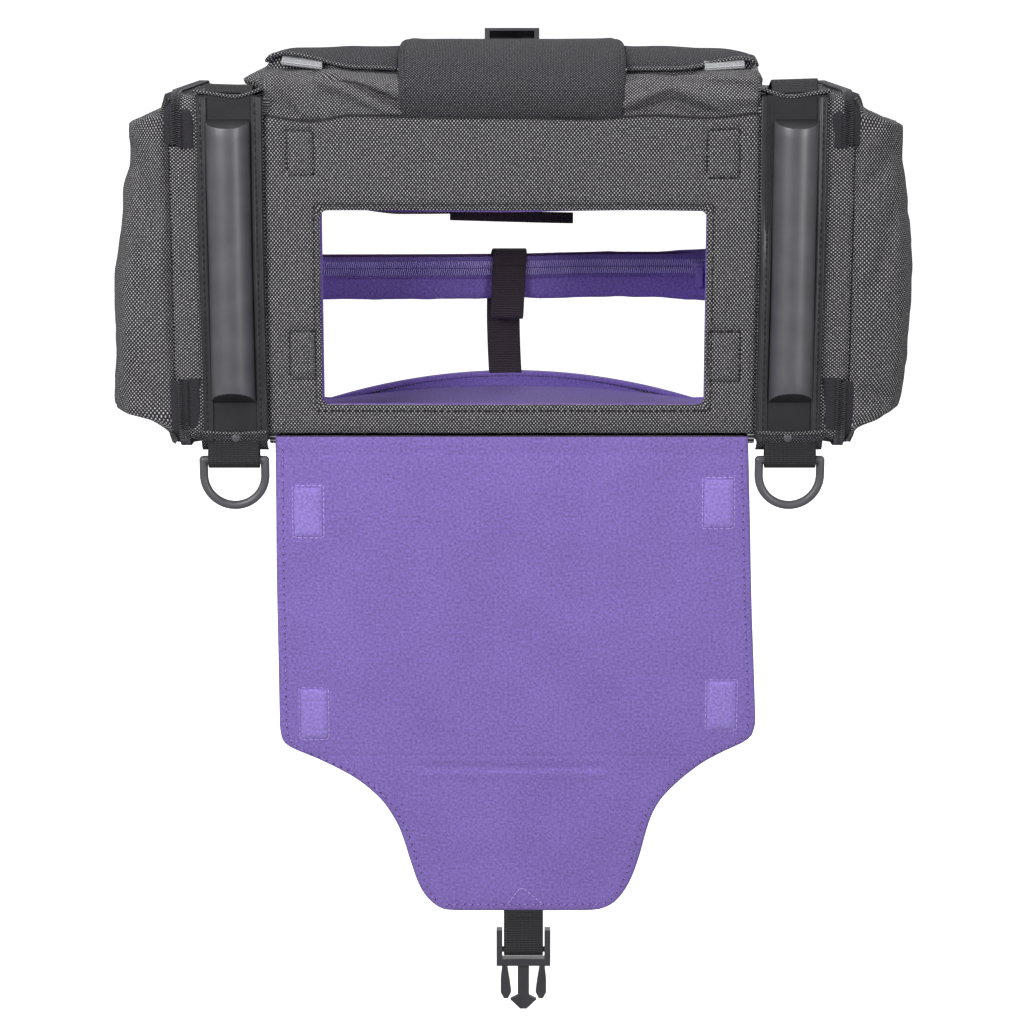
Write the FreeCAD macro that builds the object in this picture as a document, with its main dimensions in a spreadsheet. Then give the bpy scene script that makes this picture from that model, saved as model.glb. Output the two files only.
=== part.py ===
"""Soft equipment bag with a window in its front, two end pockets and a hanging front flap.

Frame: millimetres, +Z up, +X to the right, +Y from the front face towards the rear.
Origin: middle of the flat base. The pieces are drawn with Y counted from the front face,
and keep() stands each of them about the middle of the base.
"""
import FreeCAD
import Part
import math
import os
import re

import Sketcher

# Driving sizes in millimetres. Each becomes a named cell of the sheet.
SIZES = {
    # main compartment
    "main_half": 142.5,
    "depth": 150,
    "front_height": 209,
    "skin": 1.5,
    "foam": 3,
    "board": 2.5,
    "floor_pad": 5,
    "hinge_height": 6,
    "seam_drop": 19,
    "lid_rise": 15,
    "crest_rise": 24,
    "window_half": 112,
    "window_low": 24,
    "window_tall": 113,
    "window_corner": 3,
    # top
    "yoke_depth": 30,
    "yoke_wall": 3,
    "lid_wall": 4,
    "bridge_half": 66,
    "bridge_pad": 7,
    "bridge_shoulder": 22,
    "shoulder_rise": 13,
    # rear openings, the band across them and the sill
    "opening_margin": 16.5,
    "opening_low": 20,
    "opening_tall": 102,
    "band_low": 62,
    "band_tall": 32,
    "band_thick": 9.5,
    "band_zip_drop": 7,
    "sill_margin": 10,
    "sill_rise": 12,
    "sill_thick": 7,
    # magnets under the front panel and in the flap
    "magnet_width": 16,
    "magnet_height": 26,
    "magnet_low": 53,
    "magnet_drop": 20,
    "magnet_share": 0.426,
    # end boxes, their zips and the zipped lids
    "end_drop": 6,
    "end_low": 2,
    "end_wall": 2,
    "box_width": 47.5,
    "zip_wide": 3.3,
    "zip_gap": 0.4,
    "zip_proud": 1.5,
    "zip_deep": 3.5,
    "zip_front_low": 37,
    "zip_front_high": 30,
    "lid_deep": 31,
    "lid_bulge": 14,
    "lid_draw": 5,
    "bulge_draw": 20,
    # grips
    "grip_offset": 20,
    "grip_radius": 12.75,
    "grip_low": 25,
    "grip_drop": 13,
    "grip_bevel": 5,
    "flange_margin": 5.25,
    "flange_thick": 2,
    "flange_low": 1,
    "rivet_radius": 4.5,
    "rivet_head": 1.4,
    "rivet_inset": 5,
    # D-rings and their webbing
    "ring_half": 15.5,
    "ring_wire": 2.5,
    "ring_straight": 9,
    "ring_drop": 6,
    "ring_play": 1,
    "webbing": 1.6,
    "loop_gap": 0.25,
    "tab_half": 13,
    "tab_height": 8,
    "tab_setback": 18,
    # flap and tongue
    "flap_margin": 2.5,
    "flap_skin": 1.2,
    "flap_foam": 2.4,
    "flap_lining": 1.4,
    "flap_lean": 3,
    "shoulder_rise_flap": 14,
    "shoulder_round": 10,
    "crease_half": 106,
    "crease_gap": 0.3,
    "neck_half": 80,
    "neck_drop": 12,
    "neck_round": 35,
    "tongue_half": 63,
    "tongue_long": 90.4,
    "tongue_lean": 7,
    "tongue_round": 20,
    # side-release buckle on 25 mm webbing
    "strap_half": 12.5,
    "strap_gap": 0.8,
    "strap_long": 26.2,
    "strap_play": 0.4,
    "rail": 3.6,
    "buckle_thick": 6,
    "buckle_bar": 1.7,
    "rail_rise": 13.2,
    "base_gap": 5.4,
    "base_thick": 4.5,
    "prong_half": 3.5,
    "prong_thick": 3,
    "prong_long": 22.5,
    "head_half": 8,
    "head_long": 6,
    "head_tip": 2,
    "arm_gap": 0.3,
    "arm_inset": 2.5,
    "arm_stem": 3,
    "arm_pad": 6.5,
    "arm_thick": 4,
    "arm_knee": 9.5,
    "arm_long": 21.5,
    "socket_long": 32,
    "socket_thick": 9,
    "socket_wall": 1.7,
    "socket_side": 3,
    "socket_mouth": 22,
    "port_start": 8,
    "port_end": 19,
    "socket_inset": 26,
    "socket_rise": 5,
    "socket_tail": 6,
    # load strap round the rear band
    "load_half": 10,
    "load_centre": -1,
    "load_tail": 8,
    "load_gap": 0.5,
    # zip sliders and pull tabs
    "slider_wide": 8,
    "slider_long": 12,
    "slider_thick": 3,
    "slider_gap": 0.3,
    "pull_long": 26,
    "pull_wide": 6,
    "pull_thick": 2,
    "end_slider_level": 90,
    "pull_tab_half": 14,
    "pull_tab_inset": 18.5,
    "pull_tab_long": 13,
    "pull_tab_thick": 2,
}

SIDES = (("left", -1), ("right", 1))

# Values worked out from the driving sizes, as formulas of the sheet.
DERIVED = {
    "wall": "skin + foam + skin",
    "side_inner": "main_half - 5",
    "rear_inner": "depth - skin - foam",
    "floor_top": "skin + board + floor_pad",
    "seam_height": "front_height - seam_drop",
    "lid_height": "front_height + lid_rise",
    "crest_height": "front_height + crest_rise",
    "lid_edge": "front_height + 5",
    "lid_slope": "(crest_rise - shoulder_rise) / (depth / 2 - bridge_shoulder)",
    "window_high": "window_low + window_tall",
    "opening_half": "main_half - opening_margin",
    "opening_high": "opening_low + opening_tall",
    "sill_half": "opening_half - sill_margin",
    "sill_radius": "(sill_half ^ 2 + sill_rise ^ 2) / (2 * sill_rise)",
    "band_high": "band_low + band_tall",
    "band_front": "rear_inner - band_thick",
    "zip_level": "band_high - band_zip_drop",
    "magnet_across": "window_half + magnet_share * (main_half - window_half)",
    "magnet_wide": "min(magnet_width; 0.6 * (main_half - window_half))",
    "magnet_high": "seam_height - magnet_drop",
    "end_height": "front_height - end_drop",
    "zip_start": "end_low + zip_front_low",
    "zip_finish": "end_height - zip_front_high",
    "box_end": "main_half + box_width",
    "lid_zip_start": "box_end + zip_wide + zip_gap",
    "lid_start": "lid_zip_start + zip_wide",
    "lid_end": "lid_start + lid_deep",
    "grip_across": "main_half + grip_offset",
    "grip_high": "end_height - grip_drop",
    "flange_half": "grip_radius + flange_margin",
    "ring_across": "grip_across + 0.5",
    "ring_webbing": "2 * (ring_half - ring_play)",
    "ring_level": "-ring_drop - ring_wire",
    "flap_wall": "flap_skin + flap_foam + flap_lining",
    "flap_half": "main_half - flap_margin",
    "crease_level": "2 * hinge_height - front_height - 1",
    "shoulder_level": "crease_level + shoulder_rise_flap",
    "neck_level": "crease_level - neck_drop",
    "tongue_low": "crease_level - tongue_long",
    "strap_plane": "flap_wall / 2",
    "rail_inner": "strap_half + strap_play",
    "buckle_half": "rail_inner + rail",
    "loop_inner": "buckle_bar + loop_gap",
    "bar_level": "tongue_low - strap_long",
    "buckle_top": "bar_level + rail_rise",
    "base_high": "bar_level - base_gap",
    "buckle_base": "base_high - base_thick",
    "prong_low": "buckle_base - prong_long",
    "head_low": "prong_low - head_long",
    "arm_outer": "buckle_half - arm_inset",
    "knee_level": "buckle_base - arm_knee",
    "arm_low": "buckle_base - arm_long",
    "socket_setback": "depth - socket_inset",
    "bar_rise": "crest_height - (socket_setback - depth / 2) * lid_slope + socket_rise",
    "pull_tab_across": "main_half - pull_tab_inset",
    "band_slider_at": "opening_half - slider_long / 2 - 2",
}

doc = FreeCAD.newDocument("Bag")
sheet = doc.addObject("Spreadsheet::Sheet", "Sizes")
for row, (name, value) in enumerate({**SIZES, **DERIVED}.items(), start=1):
    sheet.set(f"A{row}", name)
    sheet.set(f"B{row}", f"={value}" if name in DERIVED else str(value))
    sheet.setAlias(f"B{row}", name)
doc.recompute()

ALIASES = {**SIZES, **DERIVED}
PARTS = []


def bound(text):
    """Return an expression in which each named size points at its cell of the sheet."""
    def to_cell(match):
        word = match.group(0)
        return f"Sizes.{word}" if word in ALIASES else word
    return re.sub(r"[A-Za-z_]\w*", to_cell, str(text))


def size(name):
    """Return the present value of a named size."""
    return float(getattr(sheet, name))


def keep(item, label):
    """Give an object its label, centre it on the base and list it as a sub-part to be written."""
    item.Label = label
    item.setExpression("Placement.Base.y", bound("-depth / 2"))
    PARTS.append(item)
    return item


def span(sign, low, high):
    """Return the low and high ends of a stretch of X on the left (-1) or right (+1)."""
    return (low, high) if sign > 0 else (f"-({high})", f"-({low})")


# ---------------------------------------------------------------- sketches and features

def origin_plane(body, role):
    """Return one of the body's own origin planes."""
    return next(item for item in body.Origin.OriginFeatures if item.Role == role)


def polygon_sketch(body, role, outlines, offset):
    """Draw closed outlines of straight runs; each corner is a pair of expressions."""
    sketch = body.newObject("Sketcher::SketchObject", "Outline")
    sketch.AttachmentSupport = [(origin_plane(body, role), "")]
    sketch.MapMode = "FlatFace"
    sketch.setExpression("AttachmentOffset.Base.z", bound(offset))
    for corners in outlines:
        first = sketch.GeometryCount
        count = len(corners)
        for index in range(count):
            start = FreeCAD.Vector(index + 1, index * index, 0)
            end = FreeCAD.Vector(index + 2, (index + 1) ** 2, 0)
            sketch.addGeometry(Part.LineSegment(start, end), False)
        for index in range(count):
            following = first + (index + 1) % count
            sketch.addConstraint(Sketcher.Constraint("Coincident", first + index, 2, following, 1))
        for index, corner in enumerate(corners):
            for kind, text in zip(("DistanceX", "DistanceY"), corner):
                number = sketch.addConstraint(Sketcher.Constraint(kind, first + index, 1, 1.0))
                sketch.setExpression(f"Constraints[{number}]", bound(text))
    doc.recompute()
    return sketch


# Each origin plane's normal, so that a pad always runs from its low to its high level.
TOWARDS_HIGH = {"XY_Plane": True, "YZ_Plane": True, "XZ_Plane": False}


def slab(label, role, outlines, low, high, cut=(), listed=True):
    """Make a flat piece between two levels of a plane's normal, less any cut outlines.

    An unlisted slab is one solid of a larger piece and isn't a sub-part by itself.
    """
    body = doc.addObject("PartDesign::Body", label)
    offset = low if TOWARDS_HIGH[role] else f"-({high})"
    pad = body.newObject("PartDesign::Pad", "Plate")
    pad.Profile = polygon_sketch(body, role, outlines, offset)
    pad.setExpression("Length", bound(f"({high}) - ({low})"))
    body.Tip = pad
    doc.recompute()
    if cut:
        solid = body.Shape.Volume
        pocket = body.newObject("PartDesign::Pocket", "Opening")
        pocket.Profile = polygon_sketch(body, role, cut, offset)
        pocket.Type = "ThroughAll"
        pocket.Midplane = True
        body.Tip = pocket
        doc.recompute()
        if body.Shape.Volume >= solid:
            raise RuntimeError(f"{label}: the opening cuts nothing")
    return keep(body, label) if listed else body


def round_edges(body, radius, chosen, kind="PartDesign::Fillet"):
    """Fillet or chamfer the edges for which chosen(edge) is true."""
    base = body.Tip
    names = [f"Edge{number}" for number, edge in enumerate(base.Shape.Edges, start=1) if chosen(edge)]
    if not names:
        raise RuntimeError(f"{body.Label}: no edge to round")
    feature = body.newObject(kind, "Rounded")
    feature.Base = (base, names)
    feature.setExpression("Radius" if kind.endswith("Fillet") else "Size", bound(radius))
    body.Tip = feature
    doc.recompute()
    return body


def along(axis):
    """Return a test for straight edges that run along one axis."""
    def test(edge):
        if len(edge.Vertexes) != 2 or edge.Curve.TypeId != "Part::GeomLine":
            return False
        run = edge.Vertexes[1].Point - edge.Vertexes[0].Point
        return abs(abs(run.normalize()[axis]) - 1) < 1e-6
    return test


def rectangle(low_u, high_u, low_v, high_v):
    """Return a rectangle's four corners as expressions."""
    return [(low_u, low_v), (high_u, low_v), (high_u, high_v), (low_u, high_v)]


def block(name, low, high):
    """Return a Part box between two corners, each a triple of expressions."""
    box = doc.addObject("Part::Box", name)
    for prop, first, last in zip(("Length", "Width", "Height"), low, high):
        box.setExpression(prop, bound(f"({last}) - ({first})"))
    for letter, first in zip("xyz", low):
        box.setExpression(f"Placement.Base.{letter}", bound(first))
    return box


def rod(name, radius, length, start, axis):
    """Return a Part cylinder that starts at a point and runs along +X, +Y or +Z."""
    cylinder = doc.addObject("Part::Cylinder", name)
    turns = {"x": ((0, 1, 0), 90), "y": ((1, 0, 0), -90), "z": ((0, 0, 1), 0)}
    direction, degrees = turns[axis]
    cylinder.Placement = FreeCAD.Placement(FreeCAD.Vector(), FreeCAD.Rotation(FreeCAD.Vector(*direction), degrees))
    cylinder.setExpression("Radius", bound(radius))
    cylinder.setExpression("Height", bound(length))
    for letter, place in zip("xyz", start):
        cylinder.setExpression(f"Placement.Base.{letter}", bound(place))
    return cylinder


def ball(name, radius, centre):
    """Return a Part sphere."""
    sphere = doc.addObject("Part::Sphere", name)
    sphere.setExpression("Radius", bound(radius))
    for letter, place in zip("xyz", centre):
        sphere.setExpression(f"Placement.Base.{letter}", bound(place))
    return sphere


def fused(name, shapes):
    """Return the union of several Part objects."""
    union = doc.addObject("Part::MultiFuse", name)
    union.Shapes = shapes
    union.Refine = True
    return union


def less(name, base, tool):
    """Return one Part object less another."""
    cut = doc.addObject("Part::Cut", name)
    cut.Base = base
    cut.Tool = tool
    return cut


def group(label, shapes):
    """Make one sub-part of several separate solids."""
    compound = doc.addObject("Part::Compound", label)
    compound.Links = shapes
    return keep(compound, label)


# ---------------------------------------------------------------- main compartment

def make_front():
    """Front wall: woven face, foam with four magnets let into it, and lining, all windowed."""
    window = rectangle("-window_half", "window_half", "window_low", "window_high")
    outline = rectangle("-main_half", "main_half", "hinge_height + 1", "seam_height")
    magnets = []
    holes = []
    for across in ("-magnet_across", "magnet_across"):
        for level in ("magnet_low", "magnet_high"):
            low_u, high_u = f"{across} - magnet_wide / 2", f"{across} + magnet_wide / 2"
            low_v, high_v = f"{level} - magnet_height / 2", f"{level} + magnet_height / 2"
            holes.append(rectangle(low_u, high_u, low_v, high_v))
            magnets.append(block("Magnet", (low_u, "skin", low_v), (high_u, "skin + foam", high_v)))

    def window_corner(edge):
        corner = edge.BoundBox.Center
        return along(1)(edge) and abs(corner.x) < size("main_half") - 1
    front = slab("front_panel", "XZ_Plane", [outline], "0", "skin", [window])
    round_edges(front, "window_corner", window_corner)
    slab("front_foam", "XZ_Plane", [outline], "skin", "skin + foam", [window] + holes)
    slab("front_lining", "XZ_Plane", [outline], "skin + foam", "wall", [window])
    group("front_magnets", magnets)


def make_rear():
    """Rear wall with one wide opening, the padded band across it, its zip, and the sill."""
    opening = rectangle("-opening_half", "opening_half", "opening_low", "opening_high")
    outline = rectangle("-main_half", "main_half", "0", "seam_height")
    slab("rear_panel", "XZ_Plane", [outline], "depth - skin", "depth", [opening])
    inside = rectangle("-side_inner", "side_inner", "skin", "seam_height")
    slab("rear_lining", "XZ_Plane", [inside], "rear_inner", "depth - skin", [opening])
    band = slab("rear_band", "XZ_Plane", [rectangle("-side_inner", "side_inner", "band_low", "band_high")],
                "band_front", "rear_inner")
    round_edges(band, "band_thick / 3", along(0))
    chain = rectangle("-opening_half", "opening_half", "zip_level - zip_wide", "zip_level + zip_wide")
    slab("band_zip", "XZ_Plane", [chain], "band_front - zip_proud", "band_front")
    sill_block = block("SillBlock", ("-sill_half", "rear_inner - sill_thick", "floor_top"),
                       ("sill_half", "rear_inner", "floor_top + sill_rise"))
    dome = rod("SillDome", "sill_radius", "depth", ("0", "0", "floor_top + sill_rise - sill_radius"), "y")
    sill = doc.addObject("Part::Common", "Sill")
    sill.Base = sill_block
    sill.Tool = dome
    keep(sill, "rear_sill")


def make_floor_and_sides():
    """Flat base, stiffening board and padded lining, and the two padded side walls."""
    for label, half, low, high in (("floor_outer", "main_half", "0", "skin"),
                                   ("floor_board", "side_inner", "skin", "skin + board"),
                                   ("floor_lining", "side_inner", "skin + board", "floor_top")):
        back = "depth - skin" if label == "floor_outer" else "rear_inner"
        slab(label, "XY_Plane", [rectangle(f"-{half}", half, "wall", back)], low, high)
    profile = [("wall", "skin"), ("rear_inner", "skin"), ("rear_inner", "seam_height"), ("depth - yoke_depth",
               "front_height - 1"), ("depth / 2", "lid_height - lid_wall - 4"), ("yoke_depth", "front_height - 1"),
               ("wall", "seam_height")]
    for name, sign in SIDES:
        low, high = span(sign, "side_inner", "main_half")
        slab(f"side_wall_{name}", "YZ_Plane", [profile], low, high)


def top_profile(thick, front, turn, rise, reach):
    """Return an angled strip's outline: up the front wall, over its edge and back to reach."""
    return [("0", "seam_height"), (thick, "seam_height"), (thick, f"{front} - {thick} / 2"),
            (f"{turn} + {thick} / 3", f"{rise} - {thick}"), (reach, f"{rise} + 2 - {thick}"),
            (reach, f"{rise} + 2"), (turn, rise), ("0", front)]


def make_top():
    """Yokes at the front and rear edges, two lids between them and the padded bridge over all."""
    corners = top_profile("yoke_wall", "(front_height - 4)", "11", "(front_height + 3)", "yoke_depth")
    rear_corners = [(f"depth - ({along_y})", level) for along_y, level in corners]
    rear_shapes = []
    for name, sign in SIDES:
        low, high = span(sign, "bridge_half", "main_half")
        slab(f"yoke_{name}", "YZ_Plane", [corners], low, high)
        rear_shapes.append(slab(f"RearYoke{name}", "YZ_Plane", [rear_corners], low, high, listed=False))
        lid_low, lid_high = span(sign, "bridge_half + 0.5", "main_half - 0.5")
        front, back = "yoke_depth + 0.5", "depth - yoke_depth - 0.5"
        lid = [(front, "lid_edge - lid_wall"), ("depth / 2", "lid_height - lid_wall"),
               (back, "lid_edge - lid_wall"), (back, "lid_edge"), ("depth / 2", "lid_height"),
               (front, "lid_edge")]
        slab(f"top_lid_{name}", "YZ_Plane", [lid], lid_low, lid_high)
        tab_low, tab_high = span(sign, "pull_tab_across - pull_tab_half", "pull_tab_across + pull_tab_half")
        step = "(lid_height - lid_edge) / (depth / 2 - yoke_depth - 0.5)"
        reach = f"lid_edge + pull_tab_long * {step}"
        tab = [(front, "lid_edge"), (f"{front} + pull_tab_long", reach),
               (f"{front} + pull_tab_long", f"{reach} + pull_tab_thick"),
               (front, "lid_edge + pull_tab_thick")]
        slab(f"pull_tab_{name}", "YZ_Plane", [tab], tab_low, tab_high)
    group("rear_yoke", rear_shapes)
    slab("top_bridge", "YZ_Plane", [arch("0", "skin")], "-bridge_half", "bridge_half")
    slab("bridge_pad", "YZ_Plane", [arch("skin", "skin + bridge_pad")], "-bridge_half", "bridge_half")


def arch(outer, inner):
    """Return the bridge's closed outline between two depths under its outer face."""
    def half(deep):
        return [(f"{deep}", "seam_height"), (f"{deep}", f"front_height - 2 - ({deep}) / 2"),
                (f"bridge_shoulder + ({deep}) / 3", f"front_height + shoulder_rise - ({deep})")]
    outside = half(outer)
    inside = half(inner)
    crest_out, crest_in = ("depth / 2", f"crest_height - ({outer})"), ("depth / 2", f"crest_height - ({inner})")
    mirrored_out = [(f"depth - ({u})", v) for u, v in reversed(outside)]
    mirrored_in = [(f"depth - ({u})", v) for u, v in inside]
    return outside + [crest_out] + mirrored_out + mirrored_in + [crest_in] + list(reversed(inside))


# ---------------------------------------------------------------- end boxes and grips

def ring(name, low, high, sign, outer, inner):
    """Return a rectangular ring round X: outer and inner are (front, rear, bottom, top)."""
    first, last = span(sign, low, high)
    solid = block(f"{name}Solid", (first, outer[0], outer[2]), (last, outer[1], outer[3]))
    void = block(f"{name}Void", (f"{first} - 1", inner[0], inner[2]), (f"{last} + 1", inner[1], inner[3]))
    return less(f"{name}Ring", solid, void)


def make_end_boxes():
    """Fixed half of each end pocket: a four-sided box with its half of the zip at its mouth."""
    outer = ("0", "depth", "end_low", "end_height")
    inner = ("end_wall", "depth - end_wall", "end_low + end_wall", "end_height - end_wall")
    for name, sign in SIDES:
        walls = ring(f"Box{name}", "main_half", "box_end", sign, outer, inner)
        low, high = span(sign, "box_end", "lid_start - zip_gap")
        hinge = block(f"HingeStrip{name}", (low, "0", "zip_start + 1"), (high, "end_wall", "zip_finish - 1"))
        keep(fused(f"EndBox{name}", [walls, hinge]), f"end_box_{name}")
        keep(zip_half(f"Tape{name}", "box_end", "box_end + zip_wide", sign), f"zip_tape_{name}")


def zip_half(name, low, high, sign):
    """Return half a zip: a ring proud of the box, open along the hinge at the front."""
    outer = ("-zip_proud", "depth + zip_proud", "end_low - zip_proud", "end_height + zip_proud")
    inner = ("zip_deep - zip_proud", "depth + zip_proud - zip_deep", "end_low - zip_proud + zip_deep",
             "end_height + zip_proud - zip_deep")
    whole = ring(name, low, high, sign, outer, inner)
    first, last = span(sign, low, high)
    gap = block(f"{name}Hinge", (f"{first} - 1", "-zip_proud - 1", "zip_start"),
                (f"{last} + 1", "zip_deep", "zip_finish"))
    return less(f"{name}Half", whole, gap)


def drawn_rectangle(body, level, draw, inset):
    """Sketch the lid's cross-section at a level of X, drawn in from the box's outline."""
    shrink = f"({draw}) + ({inset})"
    corners = rectangle(shrink, f"depth - ({shrink})", f"end_low + ({shrink})", f"end_height - ({shrink})")
    return polygon_sketch(body, "YZ_Plane", [corners], level)


def lofted(body, kind, first, last):
    """Add a loft between two sketches to a body."""
    feature = body.newObject(kind, "Drawn")
    feature.Profile = first
    feature.Sections = [last]
    feature.Ruled = True
    body.Tip = feature
    doc.recompute()


def make_end_lids():
    """Moving half of each end pocket: zip half, tapering gusset and bulging end face."""
    for name, sign in SIDES:
        keep(zip_half(f"LidZip{name}", "lid_zip_start", "lid_start", sign), f"lid_zip_{name}")
        start, end = ("lid_start", "lid_end") if sign > 0 else ("-lid_start", "-lid_end")
        outward = "1" if sign > 0 else "-1"
        gusset = doc.addObject("PartDesign::Body", f"end_gusset_{name}")
        lofted(gusset, "PartDesign::AdditiveLoft", drawn_rectangle(gusset, start, "0", "0"),
               drawn_rectangle(gusset, end, "lid_draw", "0"))
        solid = gusset.Shape.Volume
        lofted(gusset, "PartDesign::SubtractiveLoft", drawn_rectangle(gusset, start, "0", "end_wall"),
               drawn_rectangle(gusset, end, "lid_draw", "end_wall"))
        if gusset.Shape.Volume >= solid:
            raise RuntimeError("the gusset is not hollow")
        keep(gusset, f"end_gusset_{name}")
        face = doc.addObject("PartDesign::Body", f"end_face_{name}")
        lofted(face, "PartDesign::AdditiveLoft", drawn_rectangle(face, end, "lid_draw", "0"),
               drawn_rectangle(face, f"{end} + {outward} * lid_bulge", "bulge_draw", "0"))
        lofted(face, "PartDesign::SubtractiveLoft", drawn_rectangle(face, end, "lid_draw", "end_wall"),
               drawn_rectangle(face, f"{end} + {outward} * (lid_bulge - end_wall)", "bulge_draw", "end_wall"))
        keep(face, f"end_face_{name}")


def half_round_sketch(body, across):
    """Sketch half a disc with its flat side on the flange and its round side to the front."""
    sketch = body.newObject("Sketcher::SketchObject", "HalfRound")
    sketch.AttachmentSupport = [(origin_plane(body, "XY_Plane"), "")]
    sketch.MapMode = "FlatFace"
    sketch.setExpression("AttachmentOffset.Base.z", bound("grip_low"))
    radius = size("grip_radius")
    centre = FreeCAD.Vector(math.copysign(size("grip_across"), -1 if across.startswith("-") else 1),
                            -size("flange_thick"), 0)
    circle = Part.Circle(centre, FreeCAD.Vector(0, 0, 1), radius)
    sketch.addGeometry(Part.ArcOfCircle(circle, math.pi, 2 * math.pi), False)
    side = FreeCAD.Vector(radius, 0, 0)
    sketch.addGeometry(Part.LineSegment(centre + side, centre - side), False)
    for first, second in (((0, 2), (1, 1)), ((0, 1), (1, 2))):
        sketch.addConstraint(Sketcher.Constraint("Coincident", *first, *second))
    sketch.addConstraint(Sketcher.Constraint("Horizontal", 1))
    sketch.addConstraint(Sketcher.Constraint("PointOnObject", 0, 3, 1))
    bindings = (("DistanceX", (0, 3), across), ("DistanceY", (0, 3), "-flange_thick"))
    for kind, point, text in bindings:
        number = sketch.addConstraint(Sketcher.Constraint(kind, *point, 1.0))
        sketch.setExpression(f"Constraints[{number}]", bound(text))
    number = sketch.addConstraint(Sketcher.Constraint("Radius", 0, radius))
    sketch.setExpression(f"Constraints[{number}]", bound("grip_radius"))
    doc.recompute()
    return sketch


def make_grips():
    """Moulded flanges on the end boxes, the half-round grips on them and their rivets."""
    rivets = []
    for name, sign in SIDES:
        across = "grip_across" if sign > 0 else "-grip_across"
        flange = rectangle(f"{across} - flange_half", f"{across} + flange_half", "flange_low", "end_height")
        slab(f"grip_panel_{name}", "XZ_Plane", [flange], "-flange_thick", "0")
        body = doc.addObject("PartDesign::Body", f"grip_{name}")
        pad = body.newObject("PartDesign::Pad", "Bar")
        pad.Profile = half_round_sketch(body, across)
        pad.setExpression("Length", bound("grip_high - grip_low"))
        body.Tip = pad
        doc.recompute()

        def end_arc(edge):
            return edge.Curve.TypeId == "Part::GeomCircle"
        round_edges(body, "grip_bevel", end_arc, "PartDesign::Chamfer")
        keep(body, f"grip_{name}")
        for level in ("flange_low + rivet_inset", "end_height - rivet_inset"):
            rivets.append(rod("Rivet", "rivet_radius", "rivet_head",
                              (across, "-flange_thick - rivet_head", level), "y"))
    group("grip_rivets", rivets)


# ---------------------------------------------------------------- rings, tabs and straps

def make_rings():
    """D-rings below the grips, the webbing loops that hold them, and tabs on the end boxes."""
    middle = "-flange_thick / 2"
    reach = "ring_half + ring_wire"
    tabs = []
    for name, sign in SIDES:
        across = "ring_across" if sign > 0 else "-ring_across"
        bar = rod("RingBar", "ring_wire", f"2 * ({reach})", (f"{across} - ({reach})", middle, "ring_level"), "x")
        pieces = [bar]
        for turn in ("-", "+"):
            side = f"{across} {turn} ({reach})"
            pieces.append(rod("RingSide", "ring_wire", "ring_straight",
                              (side, middle, "ring_level - ring_straight"), "z"))
            pieces.append(ball("RingCorner", "ring_wire", (side, middle, "ring_level")))
        bow = doc.addObject("Part::Torus", "RingBow")
        bow.Placement.Rotation = FreeCAD.Rotation(FreeCAD.Vector(1, 0, 0), -90)
        bow.setExpression("Radius1", bound(reach))
        bow.setExpression("Radius2", bound("ring_wire"))
        bow.Angle3 = 180
        for letter, place in zip("xyz", (across, middle, "ring_level - ring_straight")):
            bow.setExpression(f"Placement.Base.{letter}", bound(place))
        keep(fused(f"Ring{name}", pieces + [bow]), f"d_ring_{name}")

        start = f"{across} - ring_webbing / 2"
        outside = rod("LoopOutside", "ring_wire + loop_gap + webbing", "ring_webbing",
                      (start, middle, "ring_level"), "x")
        neck = block("LoopNeck", (start, "-flange_thick", "ring_level"),
                     (f"{start} + ring_webbing", "0", "flange_low"))
        inside = rod("LoopInside", "ring_wire + loop_gap", "ring_webbing + 2",
                     (f"{start} - 1", middle, "ring_level"), "x")
        keep(less(f"Loop{name}", fused("LoopWhole", [outside, neck]), inside), f"ring_webbing_{name}")
        tabs.append(block("Tab", (f"{across} - tab_half", "tab_setback", "end_height"),
                          (f"{across} + tab_half", "tab_setback + 2 * webbing", "end_height + tab_height")))
    group("strap_tabs", tabs)


def make_load_strap():
    """Hook-and-loop strap: a loop round the band with a short tail, and a run to the floor."""
    front, back = "band_front - zip_proud - load_gap - webbing", "rear_inner + webbing"
    low, high = "band_low - webbing", "band_high + webbing"
    left, right = "load_centre - load_half", "load_centre + load_half"
    tail = "band_low - load_tail"
    profile = [(front, tail), (f"{front} + webbing", tail), (f"{front} + webbing", "band_high"),
               ("rear_inner", "band_high"), ("rear_inner", "band_low"), (f"{front} + 2 * webbing", "band_low"),
               (f"{front} + 2 * webbing", low), ("rear_inner - webbing", low),
               ("rear_inner - webbing", "floor_top + sill_rise"), ("rear_inner", "floor_top + sill_rise"),
               ("rear_inner", low), (back, low), (back, high), (front, high)]
    slab("load_strap", "YZ_Plane", [profile], left, right)


# ---------------------------------------------------------------- flap, tongue and buckle

def flap_layers():
    """Return the depth under the lining's face at which each layer starts and ends."""
    return {"lining": ("0", "flap_lining"), "foam": ("flap_lining", "flap_lining + flap_foam"),
            "outer": ("flap_lining + flap_foam", "flap_wall")}


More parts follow.
